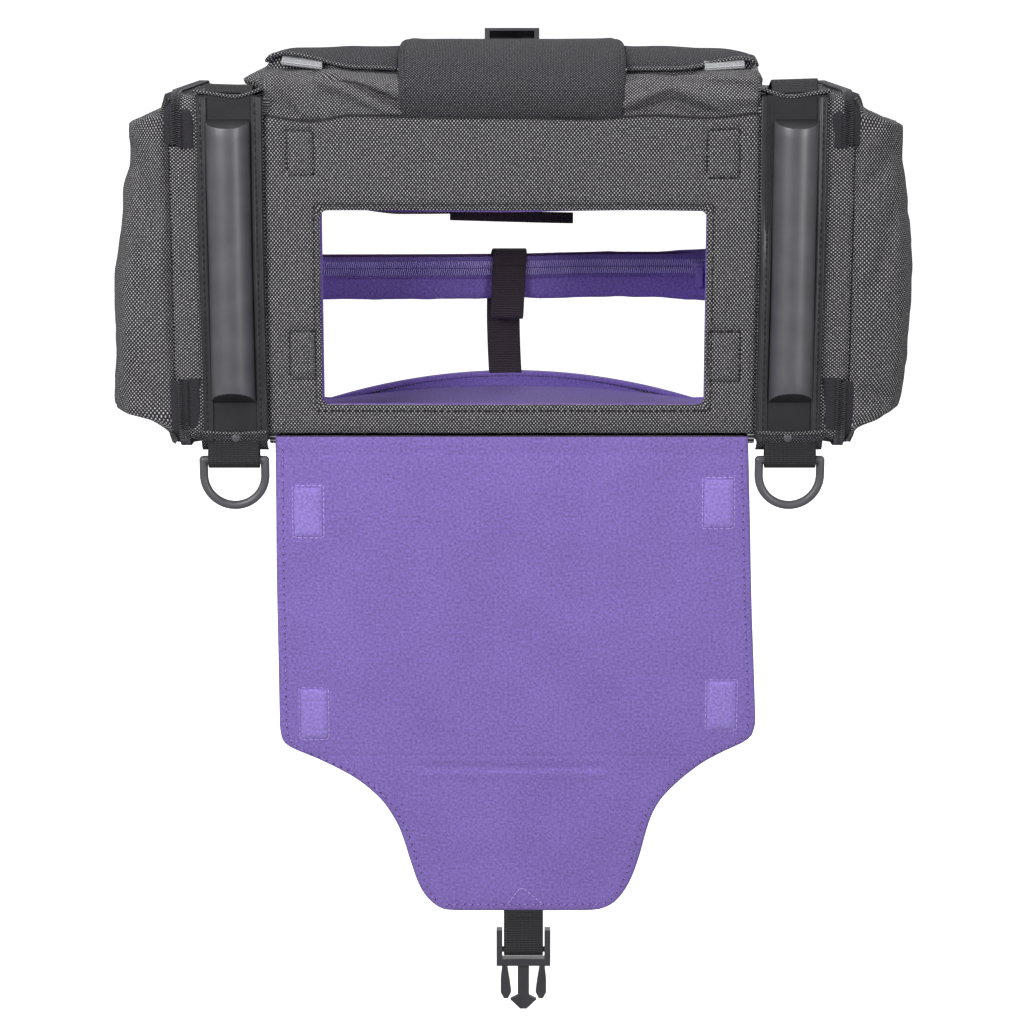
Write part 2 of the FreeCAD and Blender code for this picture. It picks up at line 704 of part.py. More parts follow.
def make_flap():
    """Front flap as it hangs open: lining to the front, foam with magnets, woven face behind."""
    top = "hinge_height - 0.5"
    low = "crease_level + crease_gap"
    outline = [("-flap_half", top), ("-flap_half + flap_lean / 2", "shoulder_level"),
               ("-crease_half + flap_lean", low), ("crease_half + flap_lean", low),
               ("flap_half + flap_lean", "shoulder_level"), ("flap_half", top)]
    magnets = []
    holes = []
    layers = flap_layers()
    for across in ("-magnet_across", "magnet_across"):
        for level in ("2 * hinge_height - magnet_low", "2 * hinge_height - magnet_high"):
            low_u, high_u = f"{across} - magnet_wide / 2", f"{across} + magnet_wide / 2"
            low_v, high_v = f"{level} - magnet_height / 2", f"{level} + magnet_height / 2"
            holes.append(rectangle(low_u, high_u, low_v, high_v))
            magnets.append(block("FlapMagnet", (low_u, layers["foam"][0], low_v), (high_u, layers["foam"][1], high_v)))

    def shoulder(edge):
        place = edge.BoundBox.Center
        return along(1)(edge) and abs(place.z - size("shoulder_level")) < 0.01
    for layer, (near, far) in layers.items():
        flap = slab(f"flap_{layer}", "XZ_Plane", [outline], near, far, holes if layer == "foam" else ())
        round_edges(flap, "shoulder_round", shoulder)
    group("flap_magnets", magnets)


def make_tongue():
    """Tongue beyond the crease, which folds over the bridge: lining, board and woven face."""
    top = "crease_level - crease_gap"
    outline = [("-crease_half + flap_lean", top), ("-neck_half + tongue_lean", "neck_level"),
               ("-tongue_half + tongue_lean", "tongue_low"), ("tongue_half + tongue_lean", "tongue_low"),
               ("neck_half + tongue_lean", "neck_level"), ("crease_half + flap_lean", top)]

    def near_level(level):
        def test(edge):
            return along(1)(edge) and abs(edge.BoundBox.Center.z - size(level)) < 0.01
        return test
    names = {"lining": "tongue_lining", "foam": "tongue_board", "outer": "tongue_outer"}
    for layer, (near, far) in flap_layers().items():
        tongue = slab(names[layer], "XZ_Plane", [outline], near, far)
        round_edges(tongue, "neck_round", near_level("neck_level"))
        round_edges(tongue, "tongue_round", near_level("tongue_low"))


def loop_on_bar(name, half, centre):
    """Return a webbing tube of a buckle bar, centred on X at a point (expressions)."""
    outside = rod(f"{name}Outside", "loop_inner + webbing", f"2 * {half}", (f"{centre[0]} - {half}",) + centre[1:], "x")
    inside = rod(f"{name}Inside", "loop_inner", f"2 * {half} + 2", (f"{centre[0]} - {half} - 1",) + centre[1:], "x")
    return outside, inside


def make_buckle():
    """Webbing at the tongue's end and the male half of the buckle with its two sprung arms."""
    bar = ("tongue_lean", "strap_plane", "bar_level")
    outside, inside = loop_on_bar("StrapLoop", "strap_half", bar)
    run = block("StrapRun", ("tongue_lean - strap_half", "strap_plane - webbing / 2", "bar_level"),
                ("tongue_lean + strap_half", "strap_plane + webbing / 2", "tongue_low - strap_gap"))
    keep(less("Strap", fused("StrapWhole", [outside, run]), inside), "tongue_webbing")

    front, back = "strap_plane - buckle_thick / 2", "strap_plane + buckle_thick / 2"
    pieces = [rod("BuckleBar", "buckle_bar", "2 * buckle_half", ("tongue_lean - buckle_half",) + bar[1:], "x")]
    for turn in ("-", "+"):
        sides = sorted((f"tongue_lean {turn} rail_inner", f"tongue_lean {turn} buckle_half"),
                       key=lambda text: "buckle_half" in text, reverse=turn == "-")
        pieces.append(block("Rail", (sides[0], front, "buckle_base"), (sides[1], back, "buckle_top")))
    near, far = "strap_plane - prong_thick / 2", "strap_plane + prong_thick / 2"
    pieces.append(block("Base", ("tongue_lean - buckle_half", front, "buckle_base"),
                        ("tongue_lean + buckle_half", back, "base_high")))
    pieces.append(block("Prong", ("tongue_lean - prong_half", near, "prong_low"),
                        ("tongue_lean + prong_half", far, "buckle_base")))
    barb = "prong_low + head_long * 0.4"
    head = [("tongue_lean - head_half", "prong_low"), ("tongue_lean - head_tip", "head_low"),
            ("tongue_lean + head_tip", "head_low"), ("tongue_lean + head_half", "prong_low"),
            ("tongue_lean + prong_half", barb), ("tongue_lean - prong_half", barb)]
    arrow = slab("ArrowHead", "XZ_Plane", [head], near, far, listed=False)
    keep(fused("MaleBuckle", pieces + [arrow]), "male_buckle")

    for name, sign in SIDES:
        def place(distance, way=sign):
            return f"tongue_lean {'+' if way > 0 else '-'} ({distance})"
        stem = "buckle_base - arm_gap"
        arm = [(place("arm_outer - 1"), stem), (place("arm_outer - 1 - arm_stem"), stem),
               (place("arm_outer - arm_pad + 1"), "knee_level"), (place("arm_outer - arm_pad"), "arm_low + 4"),
               (place("arm_outer - arm_pad + 2"), "arm_low"), (place("arm_outer - 2"), "arm_low"),
               (place("arm_outer"), "arm_low + 4"), (place("arm_outer"), "knee_level")]
        slab(f"buckle_arm_{name}", "XZ_Plane", [arm], "strap_plane - arm_thick / 2", "strap_plane + arm_thick / 2")


def make_socket():
    """Female half of the buckle, lying on the rear slope of the bridge, and its webbing."""
    half, high = "buckle_half", "socket_thick / 2"
    shell = block("SocketShell", (f"-{half}", "-socket_long", f"-{high}"), (half, "-socket_tail", high))
    mouth = block("SocketMouth", (f"-{half} + socket_side", "-socket_long - 1", f"-{high} + socket_wall"),
                  (f"{half} - socket_side", "-socket_long + socket_mouth", f"{high} - socket_wall"))
    ports = block("SocketPorts", (f"-{half} - 1", "-socket_long + port_start", f"-{high} + socket_wall + 0.5"),
                  (f"{half} + 1", "-socket_long + port_end", f"{high} - socket_wall - 0.5"))
    hollow = less("SocketHollow", shell, fused("SocketCuts", [mouth, ports]))
    pieces = [hollow, rod("SocketBar", "buckle_bar", f"2 * {half}", (f"-{half}", "0", "0"), "x")]
    for turn in ("-", ""):
        ends = sorted((f"{turn}rail_inner", f"{turn}{half}"), key=lambda text: half in text, reverse=turn == "-")
        pieces.append(block("SocketRail", (ends[0], "-socket_tail", "-buckle_bar - 1"),
                            (ends[1], "buckle_bar + 1", "buckle_bar + 1")))
    socket = fused("Socket", pieces)
    socket.Placement.Rotation = FreeCAD.Rotation(FreeCAD.Vector(-1, 0, 0), 1)
    socket.setExpression("Placement.Rotation.Angle", bound("atan(lid_slope)"))
    keep(socket, "female_buckle")
    socket.setExpression("Placement.Base.y", bound("socket_setback - depth / 2"))
    socket.setExpression("Placement.Base.z", bound("bar_rise"))

    centre = ("0", "socket_setback", "bar_rise")
    outside, inside = loop_on_bar("AnchorLoop", "strap_half", centre)
    surface = "bar_rise - socket_rise"
    turn_y, turn_z = "depth - bridge_shoulder + 1", "front_height + shoulder_rise"
    anchor = [("socket_setback - 3", f"{surface} + 0.4 + 3 * lid_slope"), (turn_y, f"{turn_z} + 0.2"),
              ("depth + 0.3", "front_height - 2"), ("depth + 0.3", "seam_height - 10"),
              ("depth + 0.3 + webbing", "seam_height - 10"), ("depth + 0.3 + webbing", "front_height - 1"),
              (f"{turn_y} + 0.6", f"{turn_z} + 0.2 + webbing"),
              ("socket_setback - 3", f"{surface} + 0.4 + 3 * lid_slope + webbing")]
    tail = slab("AnchorTail", "YZ_Plane", [anchor], "-strap_half", "strap_half", listed=False)
    keep(less("Anchor", fused("AnchorWhole", [outside, tail]), inside), "buckle_anchor")


# ---------------------------------------------------------------- zip sliders

def make_sliders():
    """Sliders with hanging pulls: one on each end zip's rear run and one on the band's zip."""
    for name, sign in SIDES:
        middle = "box_end + zip_wide + zip_gap / 2"
        low, high = span(sign, f"{middle} - slider_wide / 2", f"{middle} + slider_wide / 2")
        near = "depth + zip_proud + slider_gap"
        body = block("SliderBody", (low, near, "end_slider_level - slider_long / 2"),
                     (high, f"{near} + slider_thick", "end_slider_level + slider_long / 2"))
        low, high = span(sign, f"{middle} - pull_wide / 2", f"{middle} + pull_wide / 2")
        pull = block("SliderPull", (low, f"{near} + slider_thick - 0.5", "end_slider_level - pull_long"),
                     (high, f"{near} + slider_thick - 0.5 + pull_thick", "end_slider_level"))
        keep(fused(f"Slider{name}", [body, pull]), f"end_slider_{name}")
    near = "band_front - zip_proud - slider_gap"
    body = block("BandSliderBody", ("band_slider_at - slider_long / 2", f"{near} - slider_thick",
                                    "zip_level - slider_wide / 2"),
                 ("band_slider_at + slider_long / 2", near, "zip_level + slider_wide / 2"))
    pull = block("BandSliderPull", ("band_slider_at - pull_wide / 2", f"{near} - slider_thick + 0.5 - pull_thick",
                                    "zip_level - pull_long"),
                 ("band_slider_at + pull_wide / 2", f"{near} - slider_thick + 0.5", "zip_level"))
    keep(fused("BandSlider", [body, pull]), "band_slider")


def check_document():
    """Stop if any object failed or any sub-part has no valid shape."""
    doc.recompute()
    for item in doc.Objects:
        if "Invalid" in item.State or "Error" in item.State:
            raise RuntimeError(f"{item.Label}: {item.State}")
    for item in PARTS:
        if item.Shape.isNull() or not item.Shape.isValid() or not item.Shape.Solids:
            raise RuntimeError(f"{item.Label}: no valid solid")


def write_parts():
    """Write each sub-part's shape to its own file."""
    os.makedirs("parts", exist_ok=True)
    for item in PARTS:
        item.Shape.exportStep(f"parts/{item.Label}.step")
    print(f"{len(PARTS)} sub-parts written")


make_front()
make_rear()
make_floor_and_sides()
make_top()
make_end_boxes()
make_end_lids()
make_grips()
make_rings()
make_load_strap()
make_flap()
make_tongue()
make_buckle()
make_socket()
make_sliders()
check_document()
write_parts()
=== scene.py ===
"""Tail bag: a windowed woven-nylon box with zipped end pockets, two moulded grips and a hanging lined flap.

Every sub-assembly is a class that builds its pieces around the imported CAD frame. Sizes are in millimetres,
measured from the bag's front face, and are turned to metres in the frame by at().
"""
import logging
import math
from dataclasses import dataclass, field
from enum import Enum
from typing import Callable, Iterable, Optional, Sequence

import bpy
from bpy.types import Material, Node, NodeSocket, NodeTree, Object
from mathutils import Matrix, Vector, noise


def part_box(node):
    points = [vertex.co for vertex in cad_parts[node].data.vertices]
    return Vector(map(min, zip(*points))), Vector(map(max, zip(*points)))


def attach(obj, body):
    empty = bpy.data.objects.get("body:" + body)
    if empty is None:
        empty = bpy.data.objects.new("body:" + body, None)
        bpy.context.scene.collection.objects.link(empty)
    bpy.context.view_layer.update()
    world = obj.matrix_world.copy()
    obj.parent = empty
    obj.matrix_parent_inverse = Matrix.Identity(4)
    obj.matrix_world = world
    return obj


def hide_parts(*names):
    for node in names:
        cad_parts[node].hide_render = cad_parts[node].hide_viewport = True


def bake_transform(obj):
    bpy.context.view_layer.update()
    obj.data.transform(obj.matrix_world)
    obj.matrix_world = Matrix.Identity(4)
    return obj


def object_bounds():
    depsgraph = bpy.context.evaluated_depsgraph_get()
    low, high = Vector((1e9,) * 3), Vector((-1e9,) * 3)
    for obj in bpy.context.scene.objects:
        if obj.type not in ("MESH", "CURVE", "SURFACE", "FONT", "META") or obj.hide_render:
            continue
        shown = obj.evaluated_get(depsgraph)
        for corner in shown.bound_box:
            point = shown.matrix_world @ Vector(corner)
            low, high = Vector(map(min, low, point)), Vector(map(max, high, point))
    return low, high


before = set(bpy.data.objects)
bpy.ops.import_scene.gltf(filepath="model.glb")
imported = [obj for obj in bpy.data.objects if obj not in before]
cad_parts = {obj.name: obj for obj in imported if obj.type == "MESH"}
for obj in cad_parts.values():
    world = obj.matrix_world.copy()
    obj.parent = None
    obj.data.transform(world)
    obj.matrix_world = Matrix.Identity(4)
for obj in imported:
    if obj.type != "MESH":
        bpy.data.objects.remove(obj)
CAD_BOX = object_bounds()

LOG = logging.getLogger("tail_bag")
MM = 0.001
FRONT_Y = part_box("front_panel")[0][1]
"""The frame's Y of the bag's front face, in metres."""

Point = tuple[float, float, float]
Knot = tuple[float, float]
TURN = 2 * math.pi


# --------------------------------------------------------------------------- places and curves


def at(x: float, y: float, z: float) -> Vector:
    """The frame's point, in metres, for millimetres with Y measured back from the front face."""
    return Vector((x * MM, FRONT_Y + y * MM, z * MM))


@dataclass(frozen=True)
class Room:
    """The box of one or more CAD nodes, in millimetres from the front face."""

    x0: float
    x1: float
    y0: float
    y1: float
    z0: float
    z1: float

    @classmethod
    def of(cls, *nodes: str) -> "Room":
        """The box around these nodes.

        Args:
            nodes: Names of CAD nodes.

        Returns:
            Their common box.
        """
        lows, highs = zip(*(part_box(n) for n in nodes))
        low = [min(p[i] for p in lows) / MM for i in range(3)]
        high = [max(p[i] for p in highs) / MM for i in range(3)]
        shift = FRONT_Y / MM
        return cls(low[0], high[0], low[1] - shift, high[1] - shift, low[2], high[2])


class Course:
    """A smooth line through knots that never overshoots them."""

    def __init__(self, *knots: Knot) -> None:
        """Keeps the knots and works out the slope at each.

        Args:
            knots: Pairs of position and value, in rising order of position.
        """
        self.knots = list(knots)
        gaps = [(b[1] - a[1]) / (b[0] - a[0]) for a, b in zip(knots, knots[1:])]
        inner = [0.0 if a * b <= 0 else 2 * a * b / (a + b) for a, b in zip(gaps, gaps[1:])]
        self.slopes = [gaps[0], *inner, gaps[-1]]

    def __call__(self, t: float) -> float:
        """The value at t, held level beyond the end knots."""
        if t <= self.knots[0][0]:
            return self.knots[0][1]
        for i, (a, b) in enumerate(zip(self.knots, self.knots[1:])):
            if t <= b[0]:
                h = b[0] - a[0]
                s = (t - a[0]) / h
                m0, m1 = self.slopes[i] * h, self.slopes[i + 1] * h
                return ((2 * s**3 - 3 * s**2 + 1) * a[1] + (s**3 - 2 * s**2 + s) * m0
                        + (3 * s**2 - 2 * s**3) * b[1] + (s**3 - s**2) * m1)
        return self.knots[-1][1]


def course(*knots: Knot) -> Course:
    """A dataclass field that holds this course unless it is given another."""
    return field(default_factory=lambda: Course(*knots))


def room_of(*nodes: str) -> Room:
    """A dataclass field that holds the box of these CAD nodes."""
    return field(default_factory=lambda: Room.of(*nodes))


def ease(low: float, high: float, t: float) -> float:
    """0 below low, 1 above high and smooth between them."""
    s = min(1.0, max(0.0, (t - low) / (high - low)))
    return s * s * (3 - 2 * s)


def spaced(low: float, high: float, step: float, *marks: float) -> list[float]:
    """Evenly spaced values from low to high that also pass through the marks.

    Args:
        low: First value.
        high: Last value.
        step: Wanted gap.
        marks: Values that have to be in the list.

    Returns:
        The rising list.
    """
    stops = sorted({low, high, *(m for m in marks if low < m < high)})
    out = [low]
    for a, b in zip(stops, stops[1:]):
        n = max(1, round((b - a) / step))
        out += [a + (b - a) * (i + 1) / n for i in range(n)]
    return out


def turned(values: list[float], flip: bool) -> list[float]:
    """The values, from last to first if flip is set, which turns a mirrored cloth's face outwards."""
    return values[::-1] if flip else values


def through(points: Sequence[Sequence[float]], gap: float) -> list[Vector]:
    """Points a fixed gap apart on a smooth line through the given ones.

    Args:
        points: Points in millimetres from the front face.
        gap: Wanted distance between the results, in millimetres.

    Returns:
        The points in the frame, in metres.
    """
    p = [at(*q) for q in points]
    p = [p[0] * 2 - p[1], *p, p[-1] * 2 - p[-2]]
    fine: list[Vector] = []
    for a, b, c, d in zip(p, p[1:], p[2:], p[3:]):
        for i in range(12):
            t = i / 12
            fine.append(0.5 * (2 * b + (c - a) * t + (2 * a - 5 * b + 4 * c - d) * t**2
                               + (3 * b - a - 3 * c + d) * t**3))
    fine.append(p[-2])
    return even(fine, gap)


def outline(corners: Sequence[Knot], parts: int) -> list[Knot]:
    """Points along straight runs between corners, each run in so many parts, without the last corner."""
    return [(p[0] + (q[0] - p[0]) * t / parts, p[1] + (q[1] - p[1]) * t / parts)
            for p, q in zip(corners, corners[1:]) for t in range(parts)]


def even(line: Sequence[Vector], gap: float) -> list[Vector]:
    """The same line with its points evenly spaced about gap millimetres apart."""
    reach = [0.0]
    for a, b in zip(line, line[1:]):
        reach.append(reach[-1] + (b - a).length)
    count = max(1, round(reach[-1] / (gap * MM)))
    out, k = [], 0
    for i in range(count + 1):
        want = reach[-1] * i / count
        while k < len(line) - 2 and reach[k + 1] < want:
            k += 1
        span = max(1e-9, reach[k + 1] - reach[k])
        out.append(line[k].lerp(line[k + 1], min(1.0, (want - reach[k]) / span)))
    return out


def crumple(p: Sequence[float], size: float, seed: float) -> float:
    """Smooth noise from about -1 to 1 that changes over about size millimetres."""
    return noise.noise(Vector((p[0] / size + seed, p[1] / size - seed, p[2] / size + 2 * seed)))


@dataclass(frozen=True)
class Fold:
    """A ridge or valley of cloth along a line, in the two coordinates of a surface."""

    a: Knot
    b: Knot
    width: float
    rise: float

    def height(self, u: float, v: float) -> float:
        """How far this fold lifts the point (u, v)."""
        du, dv = self.b[0] - self.a[0], self.b[1] - self.a[1]
        t = ((u - self.a[0]) * du + (v - self.a[1]) * dv) / (du * du + dv * dv)
        s = min(1.0, max(0.0, t))
        d = math.hypot(u - self.a[0] - s * du, v - self.a[1] - s * dv)
        ends = ease(-0.12, 0.2, t) * (1 - ease(0.8, 1.12, t))
        return self.rise * math.exp(-((d / self.width) ** 2)) * (0.25 + 0.75 * ends)


# --------------------------------------------------------------------------- modelling moves


def unselect() -> None:
    """Leaves edit mode and selects nothing."""
    if bpy.context.object and bpy.context.object.mode != "OBJECT":
        bpy.ops.object.mode_set(mode="OBJECT")
    bpy.ops.object.select_all(action="DESELECT")


def pick(obj: Object) -> Object:
    """Makes this object the only selected one, and active."""
    unselect()
    obj.select_set(True)
    bpy.context.view_layer.objects.active = obj
    return obj


class Cut(Enum):
    """How a cloth's flat coordinates are laid on it."""

    ARC = "arc"
    FLAT = "flat"


def lattice(name: str, us: Sequence[float], vs: Sequence[float],
            place: Callable[[float, float], Vector], cut: Cut = Cut.ARC) -> Object:
    """A surface shaped from a grid, with a UV map in metres of cloth.

    Args:
        name: Name of the piece.
        us: Values of the first coordinate, one per column of vertices.
        vs: Values of the second, one per row.
        place: Gives the frame's point for (u, v).
        cut: ARC measures the UV map along the surface; FLAT takes it from us and vs in millimetres.

    Returns:
        The new object, whose faces point along du x dv.
    """
    unselect()
    bpy.ops.mesh.primitive_grid_add(x_subdivisions=len(us) - 1, y_subdivisions=len(vs) - 1, size=1)
    obj = bpy.context.object
    obj.name = obj.data.name = name
    wide = len(us)
    points = [place(u, v) for v in vs for u in us]
    obj.data.vertices.foreach_set("co", [c for p in points for c in p])
    if cut is Cut.FLAT:
        s, t = [u * MM for u in us], [v * MM for v in vs]
    else:
        rows = [points[i * wide:(i + 1) * wide] for i in range(len(vs))]
        s, t = [0.0], [0.0]
        for i in range(1, wide):
            s.append(s[-1] + sum((r[i] - r[i - 1]).length for r in rows) / len(rows))
        for a, b in zip(rows, rows[1:]):
            t.append(t[-1] + sum((p - q).length for p, q in zip(a, b)) / wide)
    flat = obj.data.uv_layers.active.data
    for loop in obj.data.loops:
        row, column = divmod(loop.vertex_index, wide)
        flat[loop.index].uv = (s[column], t[row])
    obj.data.update()
    return obj


def delete_faces(obj: Object, gone: Callable[[Vector], bool]) -> None:
    """Deletes the faces whose middle, in millimetres from the front face, is gone."""
    pick(obj)
    bpy.ops.object.mode_set(mode="EDIT")
    bpy.ops.mesh.select_mode(type="FACE")
    bpy.ops.mesh.select_all(action="DESELECT")
    bpy.ops.object.mode_set(mode="OBJECT")
    for face in obj.data.polygons:
        c = face.center
        face.select = gone(Vector((c.x / MM, (c.y - FRONT_Y) / MM, c.z / MM)))
    bpy.ops.object.mode_set(mode="EDIT")
    bpy.ops.mesh.delete(type="FACE")
    bpy.ops.object.mode_set(mode="OBJECT")


def weld(obj: Object, fill: bool = False, outward: bool = True) -> None:
    """Merges doubled vertices, caps holes if asked, and turns the faces outwards."""
    pick(obj)
    bpy.ops.object.mode_set(mode="EDIT")
    bpy.ops.mesh.select_mode(type="VERT")
    bpy.ops.mesh.select_all(action="SELECT")
    bpy.ops.mesh.remove_doubles(threshold=0.00002)
    if fill:
        bpy.ops.mesh.fill_holes(sides=0)
    if outward:
        bpy.ops.mesh.normals_make_consistent(inside=False)
    bpy.ops.object.mode_set(mode="OBJECT")


def modify(obj: Object, kind: str, **settings: object) -> None:
    """Adds one modifier with these settings and applies it."""
    pick(obj)
    step = obj.modifiers.new(kind.title(), kind)
    for key, value in settings.items():
        setattr(step, key, value)
    bpy.ops.object.modifier_apply(modifier=step.name)


def thicken(obj: Object, thickness: float, offset: float = -1.0,
            back: int = 0, rim: int = 0) -> None:
    """Gives a surface its thickness in millimetres; back and rim shift the material index of those faces."""
    for _ in range(max(back, rim) + 1 - len(obj.data.materials)):
        obj.data.materials.append(None)
    modify(obj, "SOLIDIFY", thickness=thickness * MM, offset=offset, use_even_offset=False,
           material_offset=back, material_offset_rim=rim)


def round_off(obj: Object, width: float, segments: int = 2, angle: float = 50.0) -> None:
    """Bevels the edges sharper than the angle by a width in millimetres."""
    modify(obj, "BEVEL", width=width * MM, segments=segments, limit_method="ANGLE",
           angle_limit=math.radians(angle), use_clamp_overlap=True)


def make_up(obj: Object, thickness: float, bevel: float = 0.0, back: int = 0, rim: int = 0,
            angle: float = 45.0) -> Object:
    """Gives a cloth its thickness, rounds its edges if a bevel is given, and shades it smooth."""
    thicken(obj, thickness, back=back, rim=rim)
    if bevel:
        round_off(obj, bevel)
    return smooth(obj, angle)


def wrap_rim(obj: Object) -> None:
    """Carries a flat-cut weave round the edges of a wall, so that it isn't drawn out into stripes there."""
    flat = obj.data.uv_layers.active.data
    for face in obj.data.polygons:
        if abs(face.normal.y) < 0.72:
            upright = abs(face.normal.x) > abs(face.normal.z)
            for i in face.loop_indices:
                co = obj.data.vertices[obj.data.loops[i].vertex_index].co
                flat[i].uv = (co.x + co.y, co.z) if upright else (co.x, co.z + co.y)


def smooth(obj: Object, angle: float = 45.0) -> Object:
    """Shades smooth, apart from edges sharper than the angle."""
    pick(obj)
    bpy.ops.object.shade_smooth_by_angle(angle=math.radians(angle))
    return obj


def copies(name: str, stencil: Object, places: Iterable[Matrix]) -> Object:
    """One piece with a copy of the stencil at each place; the stencil is removed.

    Args:
        name: Name of the piece.
        stencil: A small mesh around the origin.
        places: A matrix for each copy.

    Returns:
        The new object.
    """
    shape = [v.co.copy() for v in stencil.data.vertices]
    faces = [tuple(p.vertices) for p in stencil.data.polygons]
    points: list[Vector] = []
    polygons: list[tuple[int, ...]] = []
    for m in places:
        start = len(points)
        points += [m @ p for p in shape]
        polygons += [tuple(i + start for i in f) for f in faces]
    mesh = bpy.data.meshes.new(name)
    mesh.from_pydata(points, [], polygons)
    obj = bpy.data.objects.new(name, mesh)
    bpy.context.collection.objects.link(obj)
    bpy.data.objects.remove(stencil)
    return smooth(obj, 60)


def along(line: Sequence[Vector], up: Callable[[Vector], Vector], lift: float = 0.0,
          tilt: float = 0.0) -> list[Matrix]:
    """Places on a line: X along it, Z up from the surface.

    Args:
        line: Points in metres.
        up: Gives the surface's outward direction at a point.
        lift: Height over the surface, in millimetres.
        tilt: Turn about the upward direction, in degrees.

    Returns:
        One matrix per place.
    """
    out = []
    for a, b in zip(line, line[1:]):
        middle = (a + b) / 2
        x = (b - a).normalized()
        z = up(middle)
        z = (z - x * z.dot(x)).normalized()
        y = z.cross(x)
        turn = Matrix((x, y, z)).transposed().to_4x4() @ Matrix.Rotation(math.radians(tilt), 4, "Z")
        out.append(Matrix.Translation(middle + z * lift * MM) @ turn)
    return out


def bead(length: float, width: float, height: float, segments: int = 6) -> Object:
    """A small rounded bar along X, in millimetres, to be copied as a stitch or a zip tooth."""
    unselect()
    bpy.ops.mesh.primitive_cylinder_add(vertices=segments, radius=0.5 * MM, depth=length * MM,
                                        rotation=(0, math.pi / 2, 0))
    obj = bpy.context.object
    bpy.ops.object.transform_apply(location=True, rotation=True, scale=True)
    bpy.ops.object.mode_set(mode="EDIT")
    bpy.ops.mesh.select_all(action="SELECT")
    bpy.ops.transform.resize(value=(1, width, height))
    bpy.ops.object.mode_set(mode="OBJECT")
    round_off(obj, 0.28 * min(width, height), 1, 60)
    return obj


def sewing(name: str, line: Sequence[Vector], up: Callable[[Vector], Vector], pitch: float = 3.4,
           stitch: float = 2.3, gauge: float = 0.55, lift: float = 0.1) -> Object:
    """A row of stitches along a line.

    Args:
        name: Name of the piece.
        line: Points in metres.
        up: Gives the surface's outward direction at a point.
        pitch: Distance between stitches, in millimetres.
        stitch: Length of one stitch.
        gauge: Thickness of the thread.
        lift: Height over the line.

    Returns:
        The piece.
    """
    return copies(name, bead(stitch, gauge, gauge * 0.8), along(even(line, pitch), up, lift))


def toward(x: float, y: float, z: float) -> Callable[[Vector], Vector]:
    """A surface direction that is the same everywhere."""
    way = Vector((x, y, z)).normalized()
    return lambda _: way


def ribbon(name: str, line: Sequence[Vector], across: Vector, width: float, thickness: float,
           lanes: int = 6) -> Object:
    """A flat strip of webbing or tape along a line.

    Args:
        name: Name of the piece.
        line: Its middle line, in metres.
        across: Direction of its width.
        width: In millimetres.
        thickness: In millimetres.
        lanes: Divisions of the width.

    Returns:
        The strip, closed all round.
    """
    way = across.normalized()

    def spot(u: float, v: float) -> Vector:
        """A point of the strip's middle surface."""
        return line[int(v)] + way * u * MM

    obj = lattice(name, spaced(-width / 2, width / 2, width / lanes), list(range(len(line))), spot)
    thicken(obj, thickness, 0.0)
    round_off(obj, thickness * 0.3, 2)
    return smooth(obj, 60)


def cordage(name: str, line: Sequence[Vector], radius: float, sides: int = 8,
            squash: float = 1.0) -> Object:
    """A closed round or flattened tube along a line, for bindings and rolled edges."""
    frames = along([*line, line[-1] * 2 - line[-2]], toward(0.02, -0.5, 0.86))

    def spot(u: float, v: float) -> Vector:
        """A point of the tube's skin."""
        m = frames[int(v)]
        out = m.to_3x3() @ Vector((0, math.cos(u), math.sin(u) * squash))
        return line[int(v)] + out * radius * MM

    obj = lattice(name, [TURN * i / sides for i in range(sides + 1)], list(range(len(line))), spot)
    weld(obj, fill=True)
    return smooth(obj, 70)


def paint(obj: Object, finishes: Sequence[Material]) -> None:
    """Swaps a mesh's empty slots for these materials and keeps which face has which."""
    which = [min(face.material_index, len(finishes) - 1) for face in obj.data.polygons]
    obj.data.materials.clear()
    for material in finishes:
        obj.data.materials.append(material)
    obj.data.polygons.foreach_set("material_index", which)


def dress(obj: Object, body: str, slot: str, *finishes: Material,
          replaces: Sequence[str] = ()) -> Object:
    """Gives a finished piece its materials and its body, and hides the CAD nodes it stands for.

    Args:
        obj: The piece.
        body: The CAD body it rides on.
        slot: Not used.
        finishes: Materials in the order of the mesh's material indices.
        replaces: CAD nodes that this piece stands for.

    Returns:
        The piece.
    """
    paint(obj, finishes)
    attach(obj, body)
    tell(obj, slot, body, replaces)
    return obj


def bend_between(obj: Object, a: str, b: str, start: Vector, end: Vector, slot: str,
                 *finishes: Material, replaces: Sequence[str] = ()) -> Object:
    """Gives a piece its materials, bakes its place into its mesh, hides the CAD nodes it stands for and logs
    it.
    """
    paint(obj, finishes)
    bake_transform(obj)
    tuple(start)
    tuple(end)
    tell(obj, slot, f"{a} to {b}", replaces)
    return obj


def tell(obj: Object, slot: str, body: str, replaces: Sequence[str]) -> None:
    """Hides the nodes a piece stands for, and logs it."""
    if replaces:
        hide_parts(*replaces)
    LOG.info("%s: %d faces on %s", obj.name, len(obj.data.polygons), body)


"""The share of the finished piece's own area that is stated as its flat area."""


def as_sheet(obj: Object) -> None:
    """Works out the longest extent of a thin closed piece, and does nothing more with it.

    The cloth is modelled in its final shape.

    Args:
        obj: The finished piece.
    """
    axes = list(zip(*(v.co for v in obj.data.vertices)))
    long = max(max(axis) - min(axis) for axis in axes)


# --------------------------------------------------------------------------- finishes


def linear(code: str) -> tuple[float, float, float, float]:
    """The linear colour, with alpha, of an sRGB hex value."""
    parts = [int(code[i:i + 2], 16) / 255 for i in (1, 3, 5)]
    return (*(c / 12.92 if c <= 0.04045 else ((c + 0.055) / 1.055) ** 2.4 for c in parts), 1.0)


